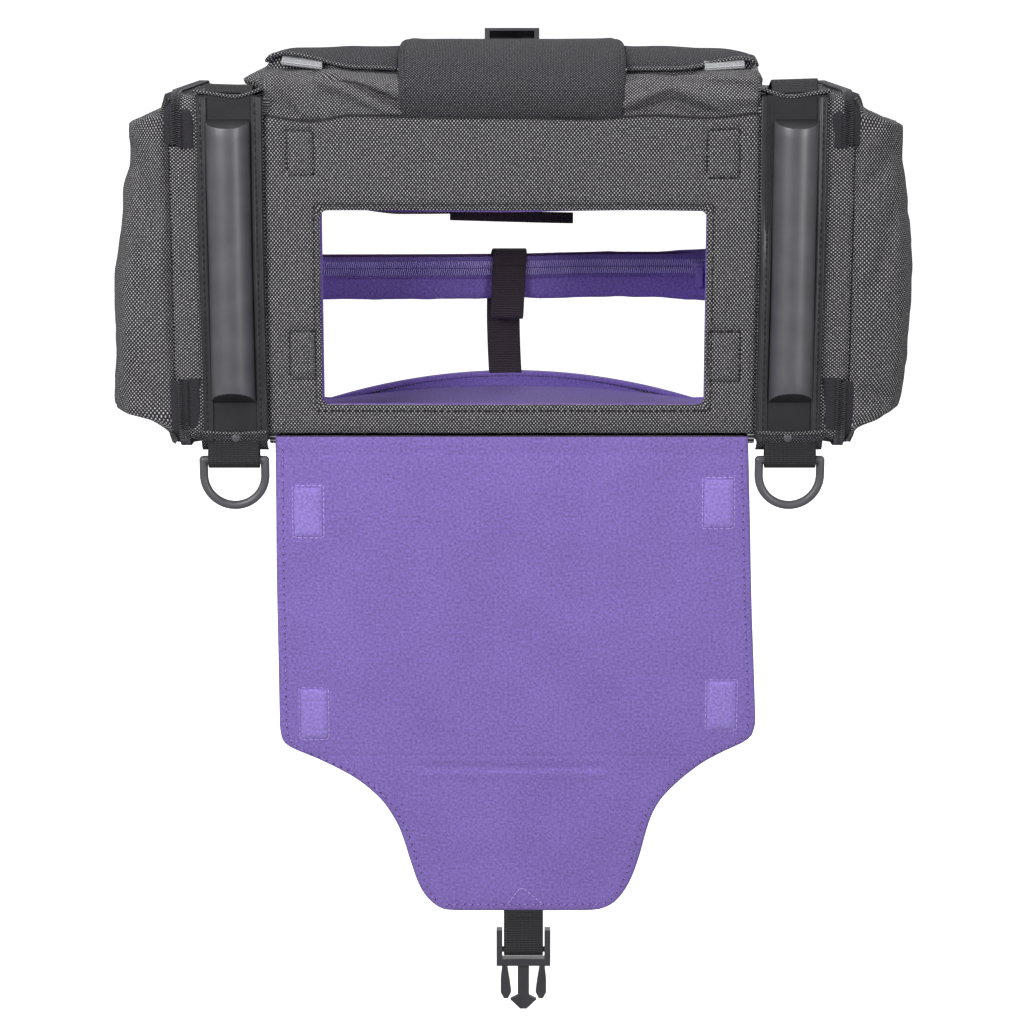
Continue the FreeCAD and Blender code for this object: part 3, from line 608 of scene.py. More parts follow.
def add(tree: NodeTree, kind: str, sockets: Optional[dict] = None, **settings: object) -> Node:
    """Adds one node with its settings and its inputs.

    Args:
        tree: The material's node tree.
        kind: The node's type, without its "ShaderNode" start.
        sockets: Input name or number, to a value or to the output that feeds it.
        settings: Attributes of the node.

    Returns:
        The node.
    """
    item = tree.nodes.new("ShaderNode" + kind)
    for key, value in settings.items():
        setattr(item, key, value)
    for key, value in (sockets or {}).items():
        if isinstance(value, NodeSocket):
            tree.links.new(value, item.inputs[key])
        else:
            item.inputs[key].default_value = value
    return item


class Where(Enum):
    """The coordinates a pattern follows."""

    CLOTH = "UV"
    PIECE = "Object"


@dataclass(frozen=True)
class Finish:
    """What all finishes share: a name, the coordinates of their pattern and the shader's constants."""

    name: str
    colour: str
    where: Where = Where.CLOTH
    roughness: float = 0.8
    ior: float = 1.5
    metallic: float = 0.0
    specular: float = 0.5

    def make(self) -> Material:
        """Builds the material once and returns it."""
        done = bpy.data.materials.get(self.name)
        if done:
            return done
        material = bpy.data.materials.new(self.name)
        material.use_nodes = True
        tree = material.node_tree
        shader = tree.nodes["Principled BSDF"]
        shader.inputs["Roughness"].default_value = self.roughness
        shader.inputs["IOR"].default_value = self.ior
        shader.inputs["Metallic"].default_value = self.metallic
        shader.inputs["Specular IOR Level"].default_value = self.specular
        spot = add(tree, "TexCoord").outputs[self.where.value]
        self.fill(tree, shader, spot)
        return material

    def fill(self, tree: NodeTree, shader: Node, spot: NodeSocket) -> None:
        """Adds this finish's own nodes; the plain one only mottles its colour."""
        mottle = self.grain(tree, spot, 2.0, 2.0)
        tree.links.new(self.tint(tree, mottle, self.colour, 0.85, 1.12), shader.inputs["Base Color"])

    def grain(self, tree: NodeTree, spot: NodeSocket, size: float,
              detail: float = 2.0) -> NodeSocket:
        """Noise whose features are about size millimetres."""
        sockets = {"Vector": spot, "Scale": 1 / (size * MM), "Detail": detail}
        return add(tree, "TexNoise", sockets).outputs["Fac"]

    def tint(self, tree: NodeTree, fac: NodeSocket, colour: str, low: float,
             high: float) -> NodeSocket:
        """The colour made darker and lighter by a pattern, between two shares of its brightness."""
        base = linear(colour)
        ramp = add(tree, "ValToRGB", {"Fac": fac})
        ramp.color_ramp.elements[0].position, ramp.color_ramp.elements[1].position = 0.3, 0.7
        for stop, share in zip(ramp.color_ramp.elements, (low, high)):
            stop.color = (*(min(1.0, c * share) for c in base[:3]), 1.0)
        return ramp.outputs["Color"]

    def relief(self, tree: NodeTree, shader: Node, height: NodeSocket,
               strength: float, depth: float) -> None:
        """Bump of a depth in millimetres."""
        bump = add(tree, "Bump", {"Height": height, "Strength": strength, "Distance": depth * MM})
        tree.links.new(bump.outputs["Normal"], shader.inputs["Normal"])


def sums(tree: NodeTree, operation: str, *values: object) -> NodeSocket:
    """One Math node on two values or sockets."""
    return add(tree, "Math", dict(enumerate(values)), operation=operation).outputs[0]


@dataclass(frozen=True)
class WovenNylon(Finish):
    """Coated ballistic nylon: charcoal yarn with a pale pick that shows as staggered dots.

    The real picks are about 1 mm apart; across and down draw them 2 mm apart, so that they show.
    """

    pick: str = "#e2e3e4"
    across: float = 2.0
    down: float = 2.4
    cover: float = 0.28

    def fill(self, tree: NodeTree, shader: Node, spot: NodeSocket) -> None:
        """Dots where two cosines peak together, dulled here and there, over a fine dark yarn."""
        axes = add(tree, "SeparateXYZ", {"Vector": spot})
        wobble = sums(tree, "MULTIPLY", self.grain(tree, spot, 9.0, 1.0), 0.9)
        waves = []
        for axis, pitch in (("X", self.across), ("Y", self.down)):
            turns = sums(tree, "MULTIPLY", axes.outputs[axis], TURN / (pitch * MM))
            waves.append(sums(tree, "COSINE", sums(tree, "ADD", turns, wobble)))
        weave = sums(tree, "MULTIPLY", *waves)
        dots = add(tree, "MapRange", {"Value": weave, "From Min": self.cover, "From Max": self.cover + 0.42},
                   interpolation_type="SMOOTHSTEP").outputs[0]
        wear = {"Value": self.grain(tree, spot, 1.6, 2.0), "From Min": 0.3, "From Max": 0.62, "To Min": 0.35,
                "To Max": 1.0}
        worn = add(tree, "MapRange", wear).outputs[0]
        yarn = self.tint(tree, self.grain(tree, spot, 0.9, 2.0), self.colour, 0.6, 1.5)
        mix = self.blend(tree, sums(tree, "MULTIPLY", dots, worn), yarn)
        tree.links.new(mix, shader.inputs["Base Color"])
        self.relief(tree, shader, weave, 0.55, 0.35)

    def blend(self, tree: NodeTree, fac: NodeSocket,
              yarn: NodeSocket) -> NodeSocket:
        """The yarn's colour, with the pale pick where fac is 1."""
        mix = add(tree, "Mix", data_type="RGBA")
        tree.links.new(fac, mix.inputs[0])
        tree.links.new(yarn, mix.inputs[6])
        mix.inputs[7].default_value = linear(self.pick)
        return mix.outputs[2]


@dataclass(frozen=True)
class BrushedSuede(Finish):
    """Brushed polyester lining: short nap, matt, slightly blotchy where it is stroked.

    The nap is drawn in tufts of 1.5 mm, coarser than the real fibres, so that it shows.
    """

    nap: float = 0.12

    def fill(self, tree: NodeTree, shader: Node, spot: NodeSocket) -> None:
        """Fine fibre noise over wide soft patches, with a constant sheen."""
        shader.inputs["Sheen Weight"].default_value = self.nap
        shader.inputs["Sheen Roughness"].default_value = 0.6
        fibre = self.grain(tree, spot, 1.5, 3.0)
        patch = self.grain(tree, spot, 40.0, 1.0)
        both = sums(tree, "ADD", sums(tree, "MULTIPLY", fibre, 0.86), sums(tree, "MULTIPLY", patch, 0.14))
        tree.links.new(self.tint(tree, both, self.colour, 0.70, 1.30), shader.inputs["Base Color"])
        self.relief(tree, shader, fibre, 0.3, 0.3)


@dataclass(frozen=True)
class Webbing(Finish):
    """Woven polyester webbing: tight ribs about 1 mm apart across it, and a slight gloss on the yarn."""

    rib: float = 1.1

    def fill(self, tree: NodeTree, shader: Node, spot: NodeSocket) -> None:
        """A herringbone of ribs: a wave along the strap whose phase steps from lane to lane."""
        axes = add(tree, "SeparateXYZ", {"Vector": spot})
        lane = sums(tree, "COSINE", sums(tree, "MULTIPLY", axes.outputs["X"], TURN / (self.rib * 2.2 * MM)))
        turns = sums(tree, "MULTIPLY", axes.outputs["Y"], TURN / (self.rib * MM))
        wave = sums(tree, "COSINE", sums(tree, "ADD", turns, lane))
        level = sums(tree, "ADD", sums(tree, "MULTIPLY", wave, 0.35), self.grain(tree, spot, 0.8))
        tree.links.new(self.tint(tree, level, self.colour, 0.45, 1.6), shader.inputs["Base Color"])
        self.relief(tree, shader, wave, 0.6, 0.3)


@dataclass(frozen=True)
class Moulded(Finish):
    """Moulded rubber or plastic: fine spark-eroded grain under a soft gloss.

    The real grain is about 0.1 mm; grit draws it a few times coarser, so that it shows.
    """

    grit: float = 0.45
    coat: float = 0.15
    bite: float = 0.25

    def fill(self, tree: NodeTree, shader: Node, spot: NodeSocket) -> None:
        """Grain bump, and a roughness that varies a little where hands have polished it."""
        shader.inputs["Coat Weight"].default_value = self.coat
        shader.inputs["Coat Roughness"].default_value = 0.35
        tree.links.new(self.tint(tree, self.grain(tree, spot, 14.0, 3.0), self.colour, 0.85, 1.15),
                       shader.inputs["Base Color"])
        polish = {"Value": self.grain(tree, spot, 22.0, 3.0), "To Min": self.roughness - 0.08,
                  "To Max": self.roughness + 0.1}
        rough = add(tree, "MapRange", polish).outputs[0]
        tree.links.new(rough, shader.inputs["Roughness"])
        self.relief(tree, shader, self.grain(tree, spot, self.grit, 2.0), self.bite, 0.12)


class Palette:
    """The bag's finishes, each made when it is first asked for."""

    def __init__(self) -> None:
        """Makes every material."""
        # charcoal cloth with pale pin dots, matt, coarse enough to read as cloth
        self.nylon = WovenNylon("woven ballistic nylon", "#343135", roughness=0.75, specular=0.15).make()
        # a darker copy of the cloth with duller, closer dots: painted shade for the lid, the bridge and the
        # cuffs, which face up or down and are seen at a grazing angle
        self.nylon_shaded = WovenNylon("woven ballistic nylon, drawn tight", "#29282c", pick="#94949a", down=2.1,
                                    across=1.8, roughness=0.75, specular=0.15).make()
        # binding tape cut from the cloth: one bright row of dots along a rolled edge
        self.binding = WovenNylon("bound nylon edge", "#2b292d", pick="#c6c7c8", across=2.4, down=1.9,
                                  cover=0.2, roughness=0.75, specular=0.15).make()
        # violet brushed lining: soft, matt, the strongest colour on the bag
        self.lining = BrushedSuede("brushed violet lining", "#8c75c5", roughness=0.95, specular=0.1).make()
        # the same lining over the magnets, where the nap lies flat: its lighter colour is painted sheen
        self.pressed = BrushedSuede("brushed violet lining, pressed", "#9d87dc", roughness=0.85, nap=0.25,
                                    specular=0.15).make()
        # the edge that the lining is turned over: plum, in its own shade
        self.edge = BrushedSuede("turned plum edge", "#5d3f74", roughness=0.95, nap=0.1).make()
        # flat black strap, and the softer, browner one inside
        self.black_webbing = Webbing("black polyester webbing", "#29282b", roughness=0.6).make()
        self.soft_webbing = Webbing("soft black polyamide webbing", "#3f353a", roughness=0.75).make()
        # pale grey strap with a silky rib
        self.grey_webbing = Webbing("grey polyester webbing", "#a9abae", rib=1.1, roughness=0.5).make()
        # zip tape: fine black twill
        self.tape = Webbing("zip tape", "#333137", rib=0.8, roughness=0.75).make()
        self.violet_tape = Webbing("violet zip tape", "#8470ba", rib=0.8, roughness=0.8).make()
        # moulded rubber handle with a broad soft highlight
        self.rubber = Moulded("moulded rubber", "#56555b", Where.PIECE, roughness=0.4, ior=1.6, coat=0.4,
                              specular=0.6).make()
        # the plate behind the handle and the handle's slanted ends: the same rubber, dull and darker; on the
        # slanted ends, which face up and down, the darker colour is painted shade
        self.matte_rubber_and_shade = Moulded("matte moulded rubber", "#2f2e32", Where.PIECE, roughness=0.6, grit=0.3,
                                    specular=0.25).make()
        # edge trim of the grip plate: shiny vinyl
        self.vinyl = Moulded("rolled vinyl trim", "#29282c", Where.PIECE, roughness=0.3, coat=0.6).make()
        # acetal buckles: waxy black
        self.acetal = Moulded("black acetal", "#414146", Where.PIECE, roughness=0.34, ior=1.5, grit=0.3,
                              bite=0.12, coat=0.3).make()
        # powder-coated steel rings: dark grey, satin
        self.coated_steel = Moulded("powder-coated steel", "#5e5e63", Where.PIECE, roughness=0.36, grit=0.35,
                                    bite=0.2, coat=0.25).make()
        # the band's slider: lacquered zinc, to match its zip
        self.violet_lacquer = Moulded("violet lacquered zinc", "#8f79c9", Where.PIECE, roughness=0.4,
                                      bite=0.05).make()
        # nylon coil zip teeth: smooth monofilament that glints
        self.coil = Moulded("black nylon coil", "#4c4b50", Where.PIECE, roughness=0.4, bite=0.05).make()
        # the band's coil is much paler than its tape: painted light and highlight on teeth that sit in the
        # bag's shade
        self.violet_coil_painted_light = Moulded("violet nylon coil", "#cdbcff", Where.PIECE, roughness=0.45,
                                   bite=0.05).make()
        # sewing threads: black on the cloth, grey on the pulls, violets on the lining
        self.thread = self.sewn("black bonded thread", "#242226")
        self.pale_grey_thread = self.sewn("pale grey thread", "#d4d6d8")
        self.violet_thread = self.sewn("violet bonded thread", "#7059ab")
        self.pale_thread = self.sewn("lilac bonded thread", "#c9b4ff")
        # the flap's hem: pale stitches, with dark beads between them as painted shade in the needle holes
        self.hem_thread = self.sewn("pale violet bonded thread", "#b08fdc", 0.7)
        self.hole = self.sewn("needle hole", "#352a55", 0.9)
        # what is sewn inside and never seen
        self.foam = Finish("closed-cell foam", "#55525a", Where.PIECE, roughness=0.95).make()
        self.board = Finish("stiffener board", "#4a4748", Where.PIECE, roughness=0.85).make()
        self.magnet = Finish("nickel-plated magnet", "#b8b8ba", Where.PIECE, roughness=0.3,
                             metallic=1.0).make()

    def sewn(self, name: str, colour: str, roughness: float = 0.6) -> Material:
        """A twisted thread: satin, with no pattern that could be seen at its size."""
        return Finish(name, colour, Where.PIECE, roughness=roughness).make()

    def repaint_nodes(self) -> None:
        """Gives each CAD node that is still shown the finish of its slot."""
        finishes = {
            "moulded_rubber": self.rubber, "black_metal": self.coated_steel, "acetal_plastic": self.acetal,
            "magnet": self.magnet, "stiffener_board": self.board, "foam": self.foam,
            "black_zip": self.coil, "purple_zip": self.violet_coil_painted_light, "woven_nylon": self.board,
            "purple_lining": self.foam, "black_webbing": self.acetal, "grey_webbing": self.board}
        for name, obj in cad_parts.items():
            if obj.hide_render:
                continue
            for slot in obj.material_slots:
                known = [f for key, f in finishes.items() if slot.material and key in slot.material.name]
                slot.material = known[0] if known else self.acetal
                if name == "band_slider":
                    slot.material = self.violet_lacquer
            worn = [slot.material.name for slot in obj.material_slots]
            LOG.info("CAD node %s keeps its shape, with %s", name, worn)


# --------------------------------------------------------------------------- front wall


FORWARD = toward(0, -1, 0)
SEAM_WAVE = Course((-141, 1.2), (-115, -2.0), (-92, 1.2), (-47, 0.2), (0, 0.0), (44, -0.8), (79, 1.2),
                   (113, 0.0), (140, 2.4))
"""How far the front's top seam lies over or under its mean height, across the bag."""


@dataclass
class FrontWall:
    """The padded wall around the big window, with its lining and the outlines of four magnets."""

    palette: Palette
    room: Room = room_of("front_panel")
    window: tuple[float, float, float, float] = (-111.0, 112.5, 24.0, 137.3)
    magnets: tuple[tuple[float, float, float, float], ...] = (
        (-129.4, -113.8, 157.6, 184.4), (112.0, 130.5, 156.0, 183.3),
        (-129.6, -114.6, 39.0, 67.6), (114.2, 132.8, 37.8, 67.0))
    step: float = 2.4
    hem: float = 3.6
    foam: float = 4.4

    def gap(self, x: float, z: float) -> float:
        """Distance from the window's edge, positive on the cloth."""
        x0, x1, z0, z1 = self.window
        outside = math.hypot(max(x0 - x, 0, x - x1), max(z0 - z, 0, z - z1))
        return outside or max(x0 - x, x - x1, z0 - z, z - z1)

    def surface(self, x: float, z: float) -> float:
        """How far back the cloth's face lies, in millimetres."""
        rim = abs(self.gap(x, z))
        outer = max(0.0, min(self.room.x1 - abs(x), z - self.room.z0))
        y = 1.9 * math.exp(-rim / 1.6) + 1.6 * math.exp(-outer / 2.6)
        y += 0.8 * math.exp(-((rim - self.hem) / 1.2) ** 2)
        for a, b, c, d in self.magnets:
            inside = min(x - a, b - x, z - c, d - z)
            y += 1.5 * math.exp(-(inside / 1.3) ** 2) - 0.2 * ease(1.0, 4.0, inside)
        top = ease(self.room.z1 - 13, self.room.z1, z)
        y += 1.3 * math.exp(-((self.room.z1 - z) / 1.8) ** 2)
        y += top * 0.7 * math.sin(x / 7.4 + 0.8) * math.sin(x / 21.0)
        y += 0.75 * crumple((x, 0, z), 46, 3.1) + 0.35 * crumple((x, 0, z), 15, 7.7)
        return y - 0.15

    def corner(self, x: float, z: float) -> tuple[float, float]:
        """Nips the window's corners, so that they are cut across a little."""
        x0, x1, z0, z1 = self.window
        for cx, cz in ((x0, z0), (x0, z1), (x1, z0), (x1, z1)):
            d = math.hypot(x - cx, z - cz)
            if d < 5:
                inward = Vector((math.copysign(1, (x0 + x1) / 2 - cx), math.copysign(1, (z0 + z1) / 2 - cz)))
                x, z = x + inward.x * 1.5 * (1 - d / 5) ** 2, z + inward.y * 1.5 * (1 - d / 5) ** 2
        return x, z

    def spot(self, x: float, z: float) -> Vector:
        """The cloth's face at (x, z)."""
        y = self.surface(x, z)
        x, z = self.corner(x, z)
        lift = SEAM_WAVE(x) * ease(self.room.z1 - 22, self.room.z1, z)
        return at(x, y, z + lift)

    def build(self) -> None:
        """Builds the outer cloth, the lining behind it and the rows of sewing."""
        x0, x1, z0, z1 = self.window
        xs = spaced(self.room.x0, self.room.x1, self.step, x0, x1, x0 - self.hem, x1 + self.hem,
                    *(m for box in self.magnets for m in box[:2]))
        zs = spaced(self.room.z0, self.room.z1, self.step, z0, z1, z0 - self.hem, z1 + self.hem,
                    *(m for box in self.magnets for m in box[2:]))

        def hole(c: Vector) -> bool:
            """Whether this face lies in the window."""
            return x0 < c.x < x1 and z0 < c.z < z1

        skin = lattice("front_skin", xs, zs, self.spot, Cut.FLAT)
        delete_faces(skin, hole)
        thicken(skin, self.foam, back=1)
        round_off(skin, 0.8, 2)
        wrap_rim(skin)
        smooth(skin)
        dress(skin, "bag", "woven_nylon", self.palette.nylon, self.palette.foam,
              replaces=("front_panel", "front_foam"))

        def back(x: float, z: float) -> Vector:
            """The lining's place, drawn a little over the window's edge at the top and the left."""
            inside = self.gap(x, z)
            pull = 1.3 * math.exp(-abs(inside) / 1.5)
            x += pull * (0.9 if x < 0 else -0.2)
            z -= pull * (0.95 * ease(60, 130, z) * (0.6 + 0.4 * math.sin(x / 26 + 2)))
            return at(x, self.foam + 0.25 + 0.4 * crumple((x, 3, z), 30, 2.2), z)

        lining = lattice("front_lining_cloth", spaced(-137, 137, 4.0, x0, x1), spaced(9.2, 189, 4.0, z0, z1),
                         back, Cut.FLAT)
        delete_faces(lining, hole)
        make_up(lining, 1.2)
        dress(lining, "bag", "purple_lining", self.palette.lining, replaces=("front_lining",))
        as_sheet(lining)

        def seen(points: Sequence[Knot]) -> list[Vector]:
            """The points of a seam on the cloth's face."""
            return [self.spot(x, z) for x, z in points]

        a, b, c, d = x0 - self.hem, x1 + self.hem, z0 - self.hem, z1 + self.hem
        ring = [(a, c), (b, c), (b, d), (a, d), (a, c)]
        row = sewing("window_stitching", seen(outline(ring, 40)), FORWARD, 3.6, 2.4, 0.95, 0.45)
        dress(row, "bag", "woven_nylon", self.palette.thread)
        for i, (a, b, c, d) in enumerate(self.magnets):
            ring = [(a, c), (b, c), (b, d), (a, d), (a, c)]
            row = sewing(f"magnet_stitching_{i + 1}", seen(outline(ring, 12)), FORWARD, 3.0, 2.2, 0.95, 0.55)
            dress(row, "bag", "woven_nylon", self.palette.thread)
        line = [self.spot(x, self.room.z1 - 0.2) for x in spaced(self.room.x0, self.room.x1, 2)]
        roll = cordage("front_seam_roll", [p + Vector((0, 0.0001, 0.0002)) for p in even(line, 3)], 0.8, 6)
        dress(roll, "bag", "woven_nylon", self.palette.thread)


# --------------------------------------------------------------------------- flap and tongue


@dataclass
class FlapPanel:
    """The hanging flap and its tongue: brushed lining in front, nylon behind, a turned edge between."""

    palette: Palette
    room: Room = room_of("flap_lining", "flap_outer")
    foot: float = -289.3
    crease: float = -197.8
    split: float = -190.0
    bent: float = -205.0
    thick: float = 5.2
    hem: float = 4.3
    peak: tuple[Knot, ...] = ((-2.9, -284.6), (5.7, -273.2), (18.9, -284.6))
    left: Course = course(
        (-289.3, -33.0), (-288.6, -41.0), (-285.2, -47.4), (-278.7, -53.4), (-270.4, -57.6), (-259.5, -61.2),
        (-237.1, -68.2), (-221.2, -77.0), (-211.5, -86.0), (-204.1, -95.6), (-192.8, -116.4),
        (-189.0, -125.2), (-186.2, -131.6), (-183.4, -136.2), (-178.6, -138.8), (-170.8, -139.7),
        (-93.5, -139.8), (-32.8, -139.3), (5.0, -139.0))
    right: Course = course(
        (-289.3, 47.0), (-288.2, 54.8), (-283.9, 62.6), (-275.5, 69.2), (-267.8, 73.0), (-256.3, 76.9),
        (-230.8, 83.8), (-220.6, 88.6), (-211.7, 95.8), (-196.0, 113.7), (-188.4, 126.9), (-184.3, 135.4),
        (-181.3, 141.0), (-176.9, 144.8), (-169.0, 146.4), (-155.2, 145.8), (-93.5, 142.6), (-32.8, 140.3),
        (5.0, 138.6))
    magnets: tuple[tuple[float, float, float, float], ...] = (
        (-129.5, -111.2, -55.7, -24.3), (112.4, 131.4, -50.3, -19.5),
        (-127.6, -110.1, -180.2, -147.8), (116.1, 135.0, -174.6, -142.8))

    def surface(self, x: float, z: float) -> float:
        """How far back the lining's face lies, in millimetres."""
        edge = min(x - self.left(z), self.right(z) - x, z - self.foot)
        y = 1.7 * math.exp(-max(edge, 0) / 1.5) + 0.35 * math.exp(-((edge - self.hem) / 1.1) ** 2)
        for a, b, c, d in self.magnets:
            inside = min(x - a, b - x, z - c, d - z)
            y += 0.45 * math.exp(-(inside / 1.1) ** 2) - 0.95 * ease(0.8, 3.2, inside)
        y += 0.9 * math.exp(-((z - self.crease) / 2.2) ** 2) * ease(-62, -48, x) * (1 - ease(50, 64, x))
        y -= 0.5 * math.exp(-((z + 201.5) / 3.0) ** 2) * ease(-62, -48, x) * (1 - ease(50, 64, x))
        y += 0.5 * math.exp(-((z + 5) / 2.0) ** 2)
        y += 0.7 * crumple((x, 5, z), 60, 1.3) + 0.25 * crumple((x, 5, z), 18, 4.4)
        y += 0.5 * ease(60, 120, x) * math.sin(z / 9 + x / 30) * ease(-90, -20, z)
        return y + 0.3

    def spot(self, u: float, z: float) -> Vector:
        """The lining's face at a share u of the width, at height z."""
        x = self.left(z) + (self.right(z) - self.left(z)) * u
        return at(x, self.surface(x, z), z)

    def cloth(self, name: str, low: float, high: float, step: float) -> Object:
        """One closed length of the panel, from height low to high."""
        edges = (0, 0.003, 0.008, 0.014, 0.021)
        us = [*edges, *spaced(0.03, 0.97, 0.0085), *(1 - e for e in reversed(edges))]
        vs = spaced(low, high, step, self.crease, -289.0, -288.4, -287.4, -286)
        obj = lattice(name, us, vs, self.spot)
        flat = obj.data.uv_layers.active.data
        for loop in obj.data.loops:
            co = obj.data.vertices[loop.vertex_index].co
            flat[loop.index].uv = (co.x, co.z)
        return make_up(obj, self.thick, 0.7, back=1, rim=2)

    def hem_rows(self, name: str, track: list[Vector]) -> list[tuple[Object, Material]]:
        """The hem's pale stitches, and dark beads between them as painted shade in the needle holes, each
        with its finish.
        """
        stitches = sewing(f"{name}_stitching", track[1:], FORWARD, 4.8, 3.5, 0.6, 0.35)
        # dark beads between the stitches: painted shade in the needle holes
        holes = sewing(f"{name}_holes", track, FORWARD, 4.8, 1.1, 0.75, 0.3)
        return [(stitches, self.palette.hem_thread), (holes, self.palette.hole)]

    def build(self) -> None:
        """Builds the flap, the tongue below it, and their sewing."""
        finishes = (self.palette.lining, self.palette.nylon, self.palette.edge)
        upper = self.cloth("flap_panel", self.split, self.room.z1 - 0.6, 2.4)
        dress(upper, "flap", "purple_lining", *finishes, replaces=("flap_lining", "flap_foam", "flap_outer"))
        lower = self.cloth("tongue_panel", self.foot, self.split, 1.6)
        bend = ("flap", "tongue", at(0, 0, self.split - 2), at(0, 0, self.bent), "purple_lining")
        bend_between(lower, *bend, *finishes, replaces=("tongue_lining", "tongue_outer", "tongue_board"))

        def inner(z: float, side: int) -> Vector:
            """A point of the edge seam on one side."""
            x = self.left(z) + self.hem if side < 0 else self.right(z) - self.hem
            return at(x, self.surface(x, z), z)

        drops = spaced(self.split, self.room.z1 - 6, 2)
        for name, side in (("left", -1), ("right", 1)):
            for row in self.hem_rows(f"flap_edge_{name}", [inner(z, side) for z in drops]):
                dress(row[0], "flap", "purple_lining", row[1])
        lows = spaced(-284.4, self.split, 1.2)
        across = [at(x, self.surface(x, -284.9), -284.9) for x in spaced(-42, 57, 2)]
        track = [inner(z, -1) for z in reversed(lows)] + across + [inner(z, 1) for z in lows]
        for row in self.hem_rows("tongue_edge", track):
            bend_between(row[0], *bend, row[1])
        track = [at(x, self.surface(x, z), z) for x, z in [*outline(self.peak, 8), self.peak[-1]]]
        dress(sewing("tongue_peak_stitching", track, FORWARD, 3.2, 2.3, 0.6, 0.3), "tongue", "purple_lining",
              self.palette.pale_thread)
        for i, (a, b, c, d) in enumerate(self.magnets):
            ring = [(a, d), (a, c), (b, c), (b, d), (a, d)]
            track = [at(x, self.surface(x, z) - 0.05, z) for x, z in outline(ring, 14)]
            row = sewing(f"flap_magnet_stitching_{i + 1}", track, FORWARD, 3.4, 2.4, 0.6)
            dress(row, "flap", "purple_lining", self.palette.pale_thread)
            patch = lattice(f"flap_magnet_patch_{i + 1}", spaced(a + 1.0, b - 1.0, 1.5),
                            spaced(c + 1.0, d - 1.0, 1.5),
                            lambda x, z: at(x, self.surface(x, z) - 0.22, z), Cut.FLAT)
            make_up(patch, 0.5)
            # the magnet pads take the lighter lining: painted sheen
            dress(patch, "flap", "purple_lining", self.palette.pressed)
            as_sheet(patch)


# --------------------------------------------------------------------------- top


class Side(Enum):
    """Which end of the bag a mirrored piece is on."""

    LEFT = -1
    RIGHT = 1

    @property
    def word(self) -> str:
        """The word in node and body names."""
        return self.name.lower()


